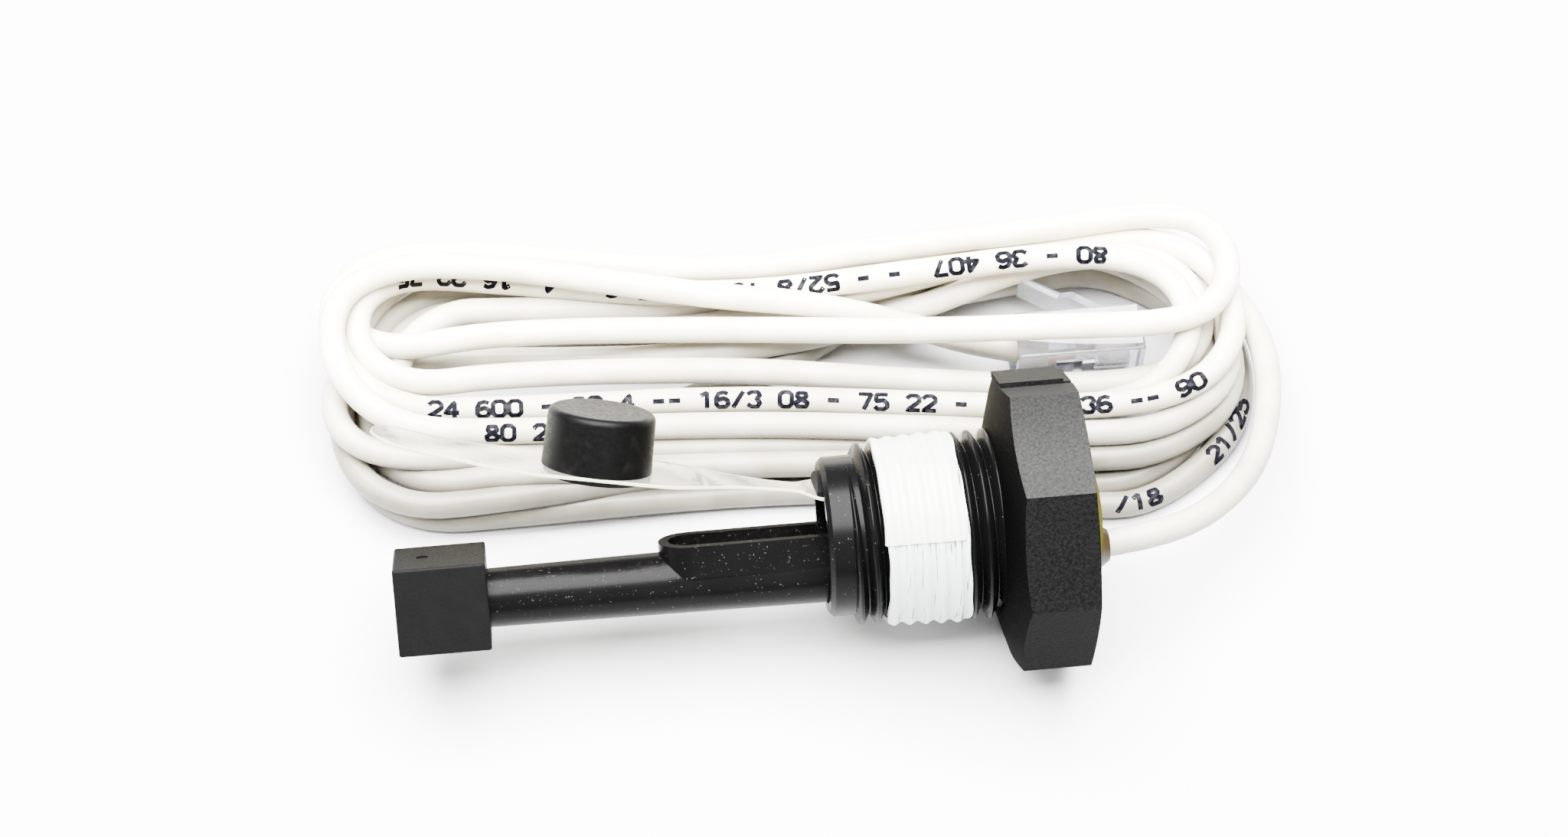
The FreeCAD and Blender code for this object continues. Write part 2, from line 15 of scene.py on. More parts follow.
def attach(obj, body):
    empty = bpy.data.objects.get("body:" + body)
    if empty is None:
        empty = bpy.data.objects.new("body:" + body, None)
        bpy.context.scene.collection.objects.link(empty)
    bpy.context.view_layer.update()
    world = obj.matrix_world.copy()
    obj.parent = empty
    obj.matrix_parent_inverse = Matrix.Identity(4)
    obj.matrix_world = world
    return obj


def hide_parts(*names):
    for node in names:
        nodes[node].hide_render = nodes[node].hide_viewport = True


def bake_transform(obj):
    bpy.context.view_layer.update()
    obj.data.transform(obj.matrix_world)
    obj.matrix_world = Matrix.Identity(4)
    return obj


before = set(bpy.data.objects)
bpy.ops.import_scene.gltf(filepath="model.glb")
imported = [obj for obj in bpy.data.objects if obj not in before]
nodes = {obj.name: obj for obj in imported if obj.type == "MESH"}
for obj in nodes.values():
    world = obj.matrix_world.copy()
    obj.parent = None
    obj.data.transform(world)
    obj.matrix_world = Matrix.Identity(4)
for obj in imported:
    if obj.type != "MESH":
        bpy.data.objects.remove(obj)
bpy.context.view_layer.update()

# %% [markdown]
# ## Two frames
# The switch was drawn along its pipe axis and then rolled an eighth of a turn on to a flat of its head. It
# is easier to think in the switch's own axes (x along the thread with 0 at the back of the head, z towards
# the grooved flat), so one small function lays such points down. The thread and the tape are round, so a
# second one takes a radius and an angle about the pipe axis. Sizes are in millimetres until that last step.

# %% Lay points down
MM = 0.001
ORIGIN_X = -37.2368      # the frame's x is 0 here
HALF_FLATS = 15.875      # from the pipe axis to a flat of the head
ROLL = math.sqrt(0.5)    # sine and cosine of an eighth of a turn


def laid(points):
    """Own axes in mm to the frame in metres: roll an eighth of a turn about x, then lift on to the floor."""
    p = np.asarray(points, float)
    x, y, z = p[..., 0], p[..., 1], p[..., 2]
    return np.stack([x - ORIGIN_X, (y + z) * ROLL, HALF_FLATS + (z - y) * ROLL], -1) * MM


def around(x, radius, angle):
    """A place x along the pipe axis, at a radius and an angle from the floor's y towards up, in metres."""
    x, radius, angle = np.broadcast_arrays(x, radius, angle)
    return np.stack([x - ORIGIN_X, radius * np.cos(angle), HALF_FLATS + radius * np.sin(angle)], -1) * MM


def floored(points):
    """Points already on the floor, x from the back of the head, in mm, to the frame in metres."""
    return (np.asarray(points, float) - np.array([ORIGIN_X, 0.0, 0.0])) * MM


print("axis of the thread lies at", np.round(laid([0.0, 0.0, 0.0]), 5))

# %% [markdown]
# ## Camera
# The picture was taken from above and a little to the left with a long lens. A camera could be turned by
# hand until the picture looks right, but lining up the corners of the head, the thread and the block is
# surer. So its place and turn are given as numbers: where the lens is, and which way the picture's right
# and up point.

# %% Camera
EYE = np.array([-58.68 - ORIGIN_X, -195.79, 353.39]) * MM
PICTURE_RIGHT = np.array([0.9944, -0.1052, 0.0143])
PICTURE_UP = np.array([0.0812, 0.8410, 0.5349])
PICTURE_WIDTH = 2048     # in pixels
LENS_LENGTH = 4500       # in pixels
SENSOR_WIDTH = 36.0
scene = bpy.context.scene


def placed(name, data, place, right, up):
    """An object at a place: its x points right, its y up, and its z, their cross product, at the viewer."""
    pose = np.eye(4)
    pose[:3, :3] = np.column_stack([right, up, np.cross(right, up)])
    pose[:3, 3] = place
    thing = bpy.data.objects.new(name, data)
    thing.matrix_world = Matrix(pose.tolist())
    scene.collection.objects.link(thing)
    return thing


right = PICTURE_RIGHT / np.linalg.norm(PICTURE_RIGHT)
up = PICTURE_UP - right * (PICTURE_UP @ right)
lens = bpy.data.cameras.new("photo_lens")
lens.sensor_fit = "HORIZONTAL"
lens.sensor_width = SENSOR_WIDTH
lens.lens = SENSOR_WIDTH * LENS_LENGTH / PICTURE_WIDTH
lens.clip_start = 0.01
scene.camera = placed("photo_camera", lens, EYE, right, up / np.linalg.norm(up))
print("lens", round(lens.lens, 2), "mm at", np.round(EYE, 4))

# %% [markdown]
# ## Mesh helpers
# Each surface is a grid of points, `rows` by `columns`. Blender's own tools could extrude it row by row,
# but the faces are only index arithmetic, which is quick on whole arrays: a closed direction joins its last
# row or column to the first, and an open end of a tube gets one flat cap. Edges that turn sharply are
# marked, so that round flanks shade softly while corners stay crisp.

# %% Mesh helpers
def grid_faces(rows, columns, close_rows=False, close_columns=False):
    """Quads of a grid: point (i, j) joins (i+1, j), (i+1, j+1), (i, j+1), wrapping where it is closed."""
    i = np.arange(rows if close_rows else rows - 1)[:, None]
    j = np.arange(columns if close_columns else columns - 1)[None, :]
    a, b = i % rows, (i + 1) % rows
    c, d = j % columns, (j + 1) % columns
    quads = np.stack([a * columns + c, b * columns + c, b * columns + d, a * columns + d], -1)
    return quads.reshape(-1, 4)


def build(name, points, quads, caps=(), sharp=35.0):
    """A mesh object at the origin from points in metres, quads and a few larger cap faces."""
    mesh = bpy.data.meshes.new(name)
    faces = np.asarray(quads).tolist() + [list(cap) for cap in caps]
    mesh.from_pydata(np.asarray(points).reshape(-1, 3).tolist(), [], faces)
    mesh.validate()
    mesh.polygons.foreach_set("use_smooth", np.ones(len(mesh.polygons), bool))
    mesh.set_sharp_from_angle(angle=math.radians(sharp))
    piece = bpy.data.objects.new(name, mesh)
    scene.collection.objects.link(piece)
    print(name, len(mesh.vertices), "points", len(mesh.polygons), "faces")
    return piece


def tube(name, points, sharp=35.0):
    """A closed skin from rows of closed sections: the sections are joined, and the two end ones get caps."""
    rows, columns = points.shape[:2]
    caps = [range(columns)[::-1], range((rows - 1) * columns, rows * columns)]
    return build(name, points, grid_faces(rows, columns, close_columns=True)[:, ::-1], caps, sharp)


print("a tube of 3 sections with 4 corners has", len(grid_faces(3, 4, close_columns=True)), "side faces")

# %% [markdown]
# ## Thread
# The moulded pipe thread is a V-shaped ridge that winds round a core tapering one part in sixteen. A solid
# modeller can cut it, but that makes the file heavy, so the solids carry the core only. Blender's Screw
# modifier winds a profile too, but not on a taper. Here one closed V profile is carried along a helix. It
# grows out of nothing over its first half turn, as the mould leaves it, and its last turn runs into the
# head.

# %% Thread ridge
PITCH = 1.814
ROOT_RADIUS = 9.1
THREAD_FRONT = -25.9
HEAD_FRONT = -9.3
RIDGE_HEIGHT = 1.25
RIDGE_STEPS = 900
CREST_AT_TOP = -24.17    # where the first whole crest shows at the top of the picture
TOP_ANGLE = math.radians(32)
INTO_HEAD = 0.4
FOOT_SINK = 0.1          # the young ridge starts this far below the core
YOUNG_WIDTH = 0.3        # and with this share of its width
FRONT_GAP = 0.02         # nothing of it stands past the front of the core
CREST_SHARP = 50.0
# the V: along the axis in pitches, and outwards in ridge heights, with a foot inside the core
FLANK = np.array([-0.50, -0.30, -0.10, -0.045, 0.045, 0.10, 0.30, 0.50, 0.2, -0.2])
LIFT = np.array([-0.05, 0.45, 0.93, 1.0, 1.0, 0.93, 0.45, -0.05, -0.3, -0.3])


def root_radius(x):
    """Radius of the core: it grows by a thirty-second of the way along, which is one in sixteen across."""
    return ROOT_RADIUS + (x - THREAD_FRONT) / 32


def crest_place(angle):
    """Place of the ridge along the axis: one pitch for each whole turn of the angle."""
    return CREST_AT_TOP + PITCH * (angle - TOP_ANGLE) / (2 * math.pi)


def eased(value):
    """Runs smoothly from 0 to 1 and stays there: 3 v² - 2 v³."""
    value = np.clip(value, 0, 1)
    return value * value * (3 - 2 * value)


first_angle = TOP_ANGLE - 2.0 * math.pi
last_angle = TOP_ANGLE + 2 * math.pi * (HEAD_FRONT + INTO_HEAD - CREST_AT_TOP) / PITCH
angle = np.linspace(first_angle, last_angle, RIDGE_STEPS)[:, None]
grow = eased((angle - first_angle) / math.pi)
flank = FLANK[None] * PITCH
lift = LIFT[None] * RIDGE_HEIGHT
lift = np.where(lift > 0, lift * grow - FOOT_SINK * (1 - grow), lift)
ridge_x = crest_place(angle) + flank * (YOUNG_WIDTH + (1 - YOUNG_WIDTH) * grow)
ridge_x = np.maximum(ridge_x, THREAD_FRONT + FRONT_GAP)
thread_ridge = tube("thread_ridge", around(ridge_x, root_radius(ridge_x) + lift, angle), CREST_SHARP)
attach(thread_ridge, "housing")

# %% [markdown]
# ## Sealing tape
# The middle turns of the thread are wrapped in white sealing tape. The tape is thin and soft: it follows
# the crests underneath as low ridges, its edges wander and slant a little, and the last layer ends in a
# seam that runs almost along the axis. A cloth could be shrunk on to the thread, but a cosine gives such
# low ripples with less work. Two closed skins are enough: a full ring for the layers below, and on top of
# it an arc for the last layer. Both keep their place along the axis and their angle as a map for the
# finish.

# %% Tape surface
TAPE_COVER = 0.22        # outer skin over the crests
TAPE_INSIDE = 0.5        # inner skin over the core
TAPE_STEPS = 61
EDGE_DROP = 0.10
EDGE_SHARE = 0.012       # share of the width that is rounded over


def tape_height(x, angle, ripple):
    """Height over the core: just over the crests, with a cosine ripple that peaks where the ridge passes."""
    phase = (x - crest_place(angle)) / PITCH
    return RIDGE_HEIGHT + TAPE_COVER - ripple * (0.5 - 0.5 * np.cos(2 * math.pi * phase))


def tape_skin(name, angles, left, right, lift, ripple, closed):
    """A closed band: across it the outer skin runs from edge to edge and the inner skin comes back below."""
    across = np.linspace(0, 1, TAPE_STEPS)
    edge = np.minimum(across, 1 - across)
    x = left + (right - left) * across[None]
    round_over = EDGE_DROP * np.clip(1 - edge / EDGE_SHARE, 0, 1) ** 2
    outer = root_radius(x) + tape_height(x, angles, ripple) + lift - round_over[None]
    inner = root_radius(x) + TAPE_INSIDE
    section_x = np.concatenate([x, x[:, ::-1]], 1)
    points = around(section_x, np.concatenate([outer, inner[:, ::-1]], 1), angles)
    if closed:
        quads = grid_faces(*points.shape[:2], close_rows=True, close_columns=True)
        piece = build(name, points, quads[:, ::-1])
    else:
        piece = tube(name, points)
    place = np.stack(np.broadcast_arrays(section_x, np.degrees(angles)), -1).reshape(-1, 2)
    corner = np.empty(len(piece.data.loops), np.int32)
    piece.data.loops.foreach_get("vertex_index", corner)
    chart = piece.data.uv_layers.new(name="winding")
    chart.data.foreach_set("uv", place[corner].ravel())
    return piece


print("tape stands", round(float(tape_height(CREST_AT_TOP, TOP_ANGLE, 0.0)), 2), "mm over the core")

# %% Tape layers
TAPE_LEFT = -22.55
TAPE_RIGHT = -13.25
LEFT_SLANT = -0.05
RIGHT_SLANT = -0.33
UNDER_INSET = 0.25       # the layers below stay back at the left edge
UNDER_RIPPLE = 0.42
OVER_INSET = 0.35        # the last layer stays back at the right edge
OVER_OUTSET = 0.05       # and stands out at the left one
OVER_LIFT = 0.11
OVER_RIPPLE = 0.26
SEAM_ANGLE = math.radians(129)
OVER_SPAN = math.radians(236)


def tape_edges(angles):
    """Left and right edge of the winding: both lean, by a cosine of the angle from the top of the picture."""
    lean = np.cos(angles - TOP_ANGLE)
    return TAPE_LEFT + LEFT_SLANT * lean, TAPE_RIGHT + RIGHT_SLANT * lean


ring = np.linspace(0, 2 * math.pi, 240, endpoint=False)[:, None]
left, right = tape_edges(ring)
wander = 0.07 * np.sin(5 * ring + 1.0) + 0.05 * np.sin(11 * ring)
tape_under = tape_skin("tape_under", ring, left + UNDER_INSET + wander, right - wander,
                       0.0, UNDER_RIPPLE, True)
arc = np.linspace(SEAM_ANGLE, SEAM_ANGLE - OVER_SPAN, 180)[::-1, None]
left, right = tape_edges(arc)
wander = 0.06 * np.sin(4 * arc) + 0.04 * np.sin(9 * arc + 2)
tape_over = tape_skin("tape_over", arc, left - OVER_OUTSET + wander, right - OVER_INSET + wander,
                      OVER_LIFT, OVER_RIPPLE, False)
for tape in (tape_under, tape_over):
    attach(tape, "housing")
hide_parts("thread_tape")

# %% [markdown]
# ## Film strip
# The paddle is a strip of clear film. It leaves the mouth at a slope with a slight twist, stays straight
# under the cap, where it is gently wider, and curls up a little towards its rounded tip. A bent plane would
# look right at rest, but the film has to bend where it leaves the mouth when the paddle swings. Here a path
# (straight, then an arc) carries a thin section whose width shrinks to a half circle at the tip.

# %% Film path
MOUTH_X = -28.7
STRIP_HEIGHT = 5.5
STRIP_SLOPE = math.radians(10.6)
STRIP_STRAIGHT = 31.7
STRIP_CURL_LENGTH = 19.3
STRIP_CURL = math.radians(11)
STRIP_TWIST = math.radians(8)
TWIST_RISE = 3           # the twist grows over this length from the lip
TWIST_KEPT = 4           # and fades from here
TWIST_FADE = 14


def strip_point(along, across, above):
    """A point of the strip: the path is straight and then an arc, tilted by the slope at the lip; it twists a
    little outside the mouth and is flat again where it reaches the cap."""
    twist = STRIP_TWIST * eased(along / TWIST_RISE) * (1 - eased((along - TWIST_KEPT) / TWIST_FADE))
    radius = STRIP_CURL_LENGTH / STRIP_CURL
    bend = np.clip(along - STRIP_STRAIGHT, 0, None) / radius
    forward = np.minimum(along, STRIP_STRAIGHT) + (radius - above) * np.sin(bend)
    height = radius - (radius - above) * np.cos(bend)
    x = MOUTH_X - forward * math.cos(STRIP_SLOPE) + height * math.sin(STRIP_SLOPE)
    z = STRIP_HEIGHT + forward * math.sin(STRIP_SLOPE) + height * math.cos(STRIP_SLOPE)
    return laid(np.stack(np.broadcast_arrays(x, across * np.cos(twist), z - across * np.sin(twist)), -1))


strip_end = STRIP_STRAIGHT + STRIP_CURL_LENGTH
print("tip of the film at", np.round(strip_point(np.array(strip_end), 0.0, 0.0), 4))

# %% Film strip
STRIP_TAIL = 6.4
STRIP_HALF_WIDTH = 4.6
STRIP_HALF_THICKNESS = 0.175
CAP_PLACE = 25.4
PAD_HALF_WIDTH = 6.35
PAD_REACH = 17           # the wider stretch ends this far from the cap
PAD_EASE = 11
TIP_GAP = 0.005          # the last section stops just short of a point
TIP_HALF_WIDTH = 0.002
BEND_END = 10.5          # where the film starts to swing with the paddle; its point is worked out below and not used
RIM_FROM = 0.98          # the cut edge: share of the half width
RIM_TIP = 0.1            # and length at the tip
run = np.concatenate([np.linspace(-STRIP_TAIL, 0, 6), np.linspace(0.5, 14, 40),
                      np.linspace(15, strip_end - STRIP_HALF_WIDTH, 30)])
rounding = STRIP_HALF_WIDTH * (np.sin(np.linspace(0, math.pi / 2, 22)[1:]) - 1)
along = np.concatenate([run, strip_end + rounding - TIP_GAP])[:, None]
into_tip = np.clip((along - (strip_end - STRIP_HALF_WIDTH)) / STRIP_HALF_WIDTH, 0, 1)
half_width = STRIP_HALF_WIDTH * np.sqrt(1 - into_tip ** 2) + TIP_HALF_WIDTH
half_width += (PAD_HALF_WIDTH - STRIP_HALF_WIDTH) * eased((PAD_REACH - np.abs(along - CAP_PLACE)) / PAD_EASE)
across = np.array([-1.0, -0.985, -0.93, -0.5, 0.0, 0.5, 0.93, 0.985, 1.0])
above = np.array([0.7, 1.0, 1.0, 1.0, 1.0, 1.0, 1.0, 1.0, 0.7]) * STRIP_HALF_THICKNESS
across, above = np.concatenate([across, across[::-1]])[None], np.concatenate([above, -above])[None]
film_strip = tube("film_strip", strip_point(along, across * half_width, above))
rim = np.maximum(np.abs(across) > RIM_FROM, along > strip_end - RIM_TIP).astype(np.float32)
film_strip.data.attributes.new("rim", "FLOAT", "POINT").data.foreach_set("value", rim.ravel())
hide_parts("paddle_strip")
tuple(strip_point(np.array(BEND_END), 0.0, 0.0))
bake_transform(film_strip)

# %% [markdown]
# ## Epoxy dome
# The pocket in the back of the head is filled with epoxy, which stands up over its rim like a drop and
# shows as a thin yellow line past the head. The solid has a lower dome, so a turned one stands for it. A
# sphere cut flat would do, but a profile turned about the axis also gives the wall: from the floor of the
# pocket straight up, then a parabola over the radius.

# %% Epoxy dome
POCKET_RADIUS = 10.0
POCKET_FLOOR = -5.5
FILL_TOP = 1.0
DOME_RISE = 2.1
DOME_MIDDLE = 0.1        # radius of the small cap that closes the middle
radius = np.concatenate([[POCKET_RADIUS], np.linspace(POCKET_RADIUS, DOME_MIDDLE, 40)])[:, None]
fill = FILL_TOP + DOME_RISE * (1 - (radius / POCKET_RADIUS) ** 2)
fill[0] = POCKET_FLOOR
epoxy_dome = tube("epoxy_dome", around(fill, radius, np.linspace(0, 2 * math.pi, 96, endpoint=False)))
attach(epoxy_dome, "housing")
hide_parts("potting_fill")

# %% [markdown]
# ## Cable route
# The cable leaves the epoxy, sweeps round the right side and enters the hank from behind. Nobody winds a
# hank by numbers, so it is described the way it looks: for each turn, where the run behind and the run in
# front pass four stations along the hank (distance from the switch and height), and where the two folds
# have their tips. A soft spline on these points is how a cable likes to lie. The first pass crosses below
# all others.

# %% Cable stations
CABLE_R = 1.57
RESTING = 1.6            # height of the cable's middle where it lies on the floor
STATIONS = (-64.0, -37.0, -14.0, 3.0)
CABLE_OFFSET = 3.8       # from the pipe axis to where the cable leaves the epoxy
CABLE_AXIS_Y = -CABLE_OFFSET * ROLL
CABLE_AXIS_Z = HALF_FLATS - CABLE_OFFSET * ROLL
lead_route = [
    (-3.5, CABLE_AXIS_Y, CABLE_AXIS_Z), (10.0, CABLE_AXIS_Y, CABLE_AXIS_Z), (21.4, 4.6, 11.0),
    (26.7, 15.4, 9.3), (28.4, 28.0, 7.4), (23.4, 39.8, 6.4), (15.5, 46.2, 4.0),
]
first_pass = [
    (6.0, 48.4, RESTING), (-6.0, 46.0, RESTING), (-15.0, 40.6, RESTING), (-26.0, 34.0, RESTING),
    (-38.0, 29.5, RESTING), (-51.0, 26.6, RESTING), (-64.0, 25.0, RESTING),
]
first_tip = (-76.0, 33.0, RESTING)
last_pass = [(-64.0, 45.3, 9.4), (-50.0, 41.6, 9.8), (-37.0, 38.3, 9.9), (-26.0, 37.0, 9.0)]
tail_route = [(-14.0, 34.6, 5.8), (-6.0, 31.2, 5.0), (2.3, 29.3, 4.825)]

# each turn: run behind from left to right, tip of the right fold, run in front from right to left, left tip
turns = [
    (((40.6, 1.6), (36.9, 4.4), (39.9, 7.1), (42.2, 7)), (24.4, 30.5, 7.8),
     ((19.4, 7.2), (22.2, 6.8), (25.6, 6.4), (26.2, 6.8)), (-83, 38.4, 10)),
    (((46.8, 8.2), (42, 7.1), (42, 10.6), (42.8, 10.4)), (24.4, 36.4, 11.2),
     ((27.8, 11.5), (30.2, 9.2), (34.3, 6.6), (36, 7)), (-82.4, 43.2, 6)),
    (((50.2, 1.6), (44.9, 1.6), (46.6, 3.2), (45.4, 1.6)), (25.4, 27.5, 1.6),
     ((7.4, 1.6), (12.4, 1.6), (15.1, 1.6), (15.2, 1.6)), (-81.6, 26, 1.6)),
    (((47, 1.6), (41.7, 1.6), (37.8, 4.4), (42.2, 1.6)), (22.2, 27.5, 1.6),
     ((11.7, 1.6), (15.6, 1.6), (18.3, 1.6), (15.2, 4.4)), (-82.6, 27, 4.5)),
    (((48.9, 4.6), (43.3, 4.4), (45, 6.2), (47, 4.3)), (25.2, 27, 4.5),
     ((13.2, 4.4), (14, 4.3), (16, 4.3), (17.4, 4.5)), (-80.2, 27, 3.8)),
    (((43.8, 1.6), (38.5, 1.6), (40.8, 5.4), (43.8, 4.3)), (22, 28, 4.5),
     ((16.2, 4.3), (17.4, 4.3), (19.2, 4.3), (20.4, 4.6)), (-83.7, 28, 7.2)),
    (((37.4, 1.6), (33.7, 4.4), (37.6, 3.8), (40.6, 9.6)), (22.4, 32.5, 8.4),
     ((23.9, 7.3), (26.4, 6.6), (30.2, 6.2), (30.8, 7)), (-80.6, 37.4, 7.3)),
    (((45, 4.9), (38, 7.1), (38.3, 9), (37.9, 11.8)), (19.4, 31.4, 9),
     ((21, 4.2), (22, 3), (22.6, 1.6), (22.4, 2.4)), (-77.2, 32.4, 5)),
    (((41.9, 4.4), (40.1, 4.4), (42.8, 8), (45.4, 7)), (25, 28.5, 7.2),
     ((16.1, 7.2), (18.5, 7.2), (21.6, 6.6), (22.4, 7.4)), (-83.4, 35.2, 12)),
]
print("turns", len(turns))

# %% [markdown]
# A fold could be one point at its tip, but the spline would then kink there. It is half of an eight-sided
# ring round its tip instead: four points, never narrower than the cable can bend.

# %% Cable points
LEAST_FOLD = 8.6         # least half width of a fold
FOLD_DEPTH = 1.15        # depth of a fold over its half width, up to a limit at each end of the hank
DEEPEST_LEFT = 12.0
DEEPEST_RIGHT = 22.0
CORNER_BACK = 0.586      # corners of the ring: share of the depth behind the tip
CORNER_SIDE = 0.45       # and share of the half width beside it


def fold(x, start, end, tip):
    """Four points round a fold: corners of half an eight-sided ring, so that the run bends evenly there."""
    (y0, z0), (y1, z1), (tip_x, tip_y, tip_z) = start, end, tip
    side = math.copysign(1.0, y1 - y0)
    wide = max(abs(y1 - y0) / 2, LEAST_FOLD)
    middle = (y0 + y1) / 2
    lean = middle + 0.5 * (tip_y - middle)
    deepest = DEEPEST_LEFT if tip_x < x else DEEPEST_RIGHT
    deep = math.copysign(min(FOLD_DEPTH * wide, abs(tip_x - x), deepest), tip_x - x)
    corner_x = tip_x - CORNER_BACK * deep
    return [
        (corner_x, middle - side * wide, 0.5 * (z0 + tip_z)),
        (tip_x, lean - side * CORNER_SIDE * wide, tip_z),
        (tip_x, lean + side * CORNER_SIDE * wide, tip_z),
        (corner_x, middle + side * wide, 0.5 * (z1 + tip_z)),
    ]


route = lead_route + first_pass + fold(STATIONS[0], first_pass[-1][1:], turns[0][0][0], first_tip)
for k, (behind, right_tip, before, left_tip) in enumerate(turns):
    route += [(x, *place) for x, place in zip(STATIONS, behind)]
    route += fold(STATIONS[-1], behind[-1], before[0], right_tip)
    route += [(x, *place) for x, place in zip(STATIONS[::-1], before)]
    following = turns[k + 1][0][0] if k + 1 < len(turns) else last_pass[0][1:]
    route += fold(STATIONS[0], before[-1], following, left_tip)
route = np.array(route + last_pass + tail_route)
loose = np.ones((len(route), 1))
loose[:len(lead_route) - 1] = 0
loose[-len(tail_route):] = 0
print("control points", len(route), "of which free to settle", int(loose.sum()))

# %% [markdown]
# ## Let the strands lie
# The given stations leave some strands a little too close. A real hank settles by itself: strands push each
# other apart, later ones ride up over earlier ones, and nothing sinks into the floor, the plug or the head.
# A simulation would do that, but would move the turns far from where they were set, so the same is done
# here in small rounds. The curve is sampled from the spline's own weights, near strands push each other,
# and each push is handed back to the control points that carry that bit of curve.

# %% Curve and control points
STEPS = 5
part = np.arange(STEPS) / STEPS
WEIGHTS = np.stack([0.5 * (1 - part) ** 2, 0.5 + part - part ** 2, 0.5 * part ** 2])


def strand_points(control):
    """Points on the order 3 spline: each span blends three neighbours by (1-w)²/2, 1/2+w-w² and w²/2."""
    ends = np.vstack([2 * control[:1] - control[1:2], control[1:-1], 2 * control[-1:] - control[-2:-1]])
    near = np.stack([ends[:-2], ends[1:-1], ends[2:]])
    return np.einsum("ks,knd->nsd", WEIGHTS, near).reshape(-1, 3)


def hand_back(push, count):
    """Pushes on the curve points, spread to the control points by the same weights."""
    shares = np.einsum("ks,nsd->knd", WEIGHTS, push.reshape(-1, STEPS, 3)) / STEPS
    moved = np.zeros((count, 3))
    for k in range(3):
        moved[k:count - 2 + k] += shares[k]
    return moved


print("curve points", len(strand_points(route)))

# %% Pushes between strands
STRAND_GAP = 3.0
SAME_STRETCH = 14        # points nearer than this along the cable leave each other alone
PUSH_UP = 1.6            # strands rather part upwards than sideways
LATER_UP = 0.2


def along_it(points):
    """Distance along a line of points from its start to each of them."""
    return np.concatenate([[0], np.cumsum(np.linalg.norm(np.diff(points, axis=0), axis=1))])


def push_strands(strand, gap):
    """Each pair of points nearer than the gap pushes apart, more upwards than sideways, the later one up."""
    gone = along_it(strand)
    size = np.sum(strand ** 2, 1)
    apart = size[:, None] + size[None] - 2 * strand @ strand.T
    i, j = np.nonzero((apart < gap * gap) & (np.abs(gone[:, None] - gone[None]) > SAME_STRETCH))
    away = strand[i] - strand[j]
    lack = gap - np.linalg.norm(away, axis=1)
    away[:, 2] = PUSH_UP * away[:, 2] + LATER_UP * np.sign(i - j)
    away *= (lack / np.maximum(np.linalg.norm(away, axis=1), 1e-6))[:, None]
    push = np.zeros_like(strand)
    np.add.at(push, i, away)
    return push / np.sqrt(np.maximum(np.bincount(i, minlength=len(strand)), 1))[:, None], lack


close = push_strands(strand_points(route), STRAND_GAP)[1]
print("pairs too close as set", len(close) // 2)

# %% Pushes off the plug and the head
PLUG_ROOM = 1.7          # the cable's middle stays this far off the plug
# low and high corners of boxes round the plug's body and, in two steps, its latch
PLUG_BOXES = np.array([
    [(-1.9, 26.0, 0.0), (13.5, 32.6, 9.65)],
    [(-0.2, 32.0, 1.83), (9.1, 37.0, 7.83)],
    [(-0.2, 36.0, 1.83), (5.0, 40.0, 7.83)],
])
HEAD_MIDDLE, HEAD_REACH = -4.0, 7.0
BESIDE_HEAD = (20, 12)   # the head is in the way only nearer and lower than this
SLANTED_FLAT = 9.4       # y - z outside the head's lower slanted flat
BACK_FLAT = 17.7         # y outside its back flat


def push_off_switch(strand):
    """Points in the plug's boxes leave by the nearest of top, front and back; the head's flats stay free."""
    push = np.zeros_like(strand)
    for low, high in PLUG_BOXES + np.array([-PLUG_ROOM, PLUG_ROOM])[None, :, None]:
        inside = np.all((strand > low) & (strand < high), axis=1)
        ways = np.stack([high[2] - strand[:, 2], strand[:, 1] - low[1], high[1] - strand[:, 1]])
        best = np.argmin(ways, axis=0)
        push[:, 2] += np.where(inside & (best == 0), ways[0], 0)
        push[:, 1] += np.where(inside & (best == 2), ways[2], 0) - np.where(inside & (best == 1), ways[1], 0)
    x, y, z = strand.T
    beside = (np.abs(x - HEAD_MIDDLE) < HEAD_REACH) & (y < BESIDE_HEAD[0]) & (z < BESIDE_HEAD[1])
    lack = np.minimum(SLANTED_FLAT - (y - z), BACK_FLAT - y)
    push[:, 1] += np.where(beside, np.maximum(lack, 0), 0)
    return push


inside = np.any(push_off_switch(strand_points(route)), axis=1)
print("points inside the plug or the head as set", int(inside.sum()))

# %% Settle the hank
ROUNDS = 90
PUSH_SHARE = 0.7         # share of a push that one round carries out
SMOOTHING = 0.1          # share by which a point follows the moves of its neighbours
moved = np.zeros_like(route)
for _ in range(ROUNDS):
    strand = strand_points(route + moved)
    push, lack = push_strands(strand, STRAND_GAP)
    moved += PUSH_SHARE * loose * hand_back(push + push_off_switch(strand), len(route))
    moved[1:-1] += SMOOTHING * loose[1:-1] * ((moved[:-2] + moved[2:]) / 2 - moved[1:-1])
    moved[:, 2] += loose[:, 0] * np.maximum(RESTING - route[:, 2] - moved[:, 2], 0)
short = round(float(lack.max()), 2)
print("settled by", np.round(np.abs(moved).max(0), 2), "mm, closest pair short by", short)
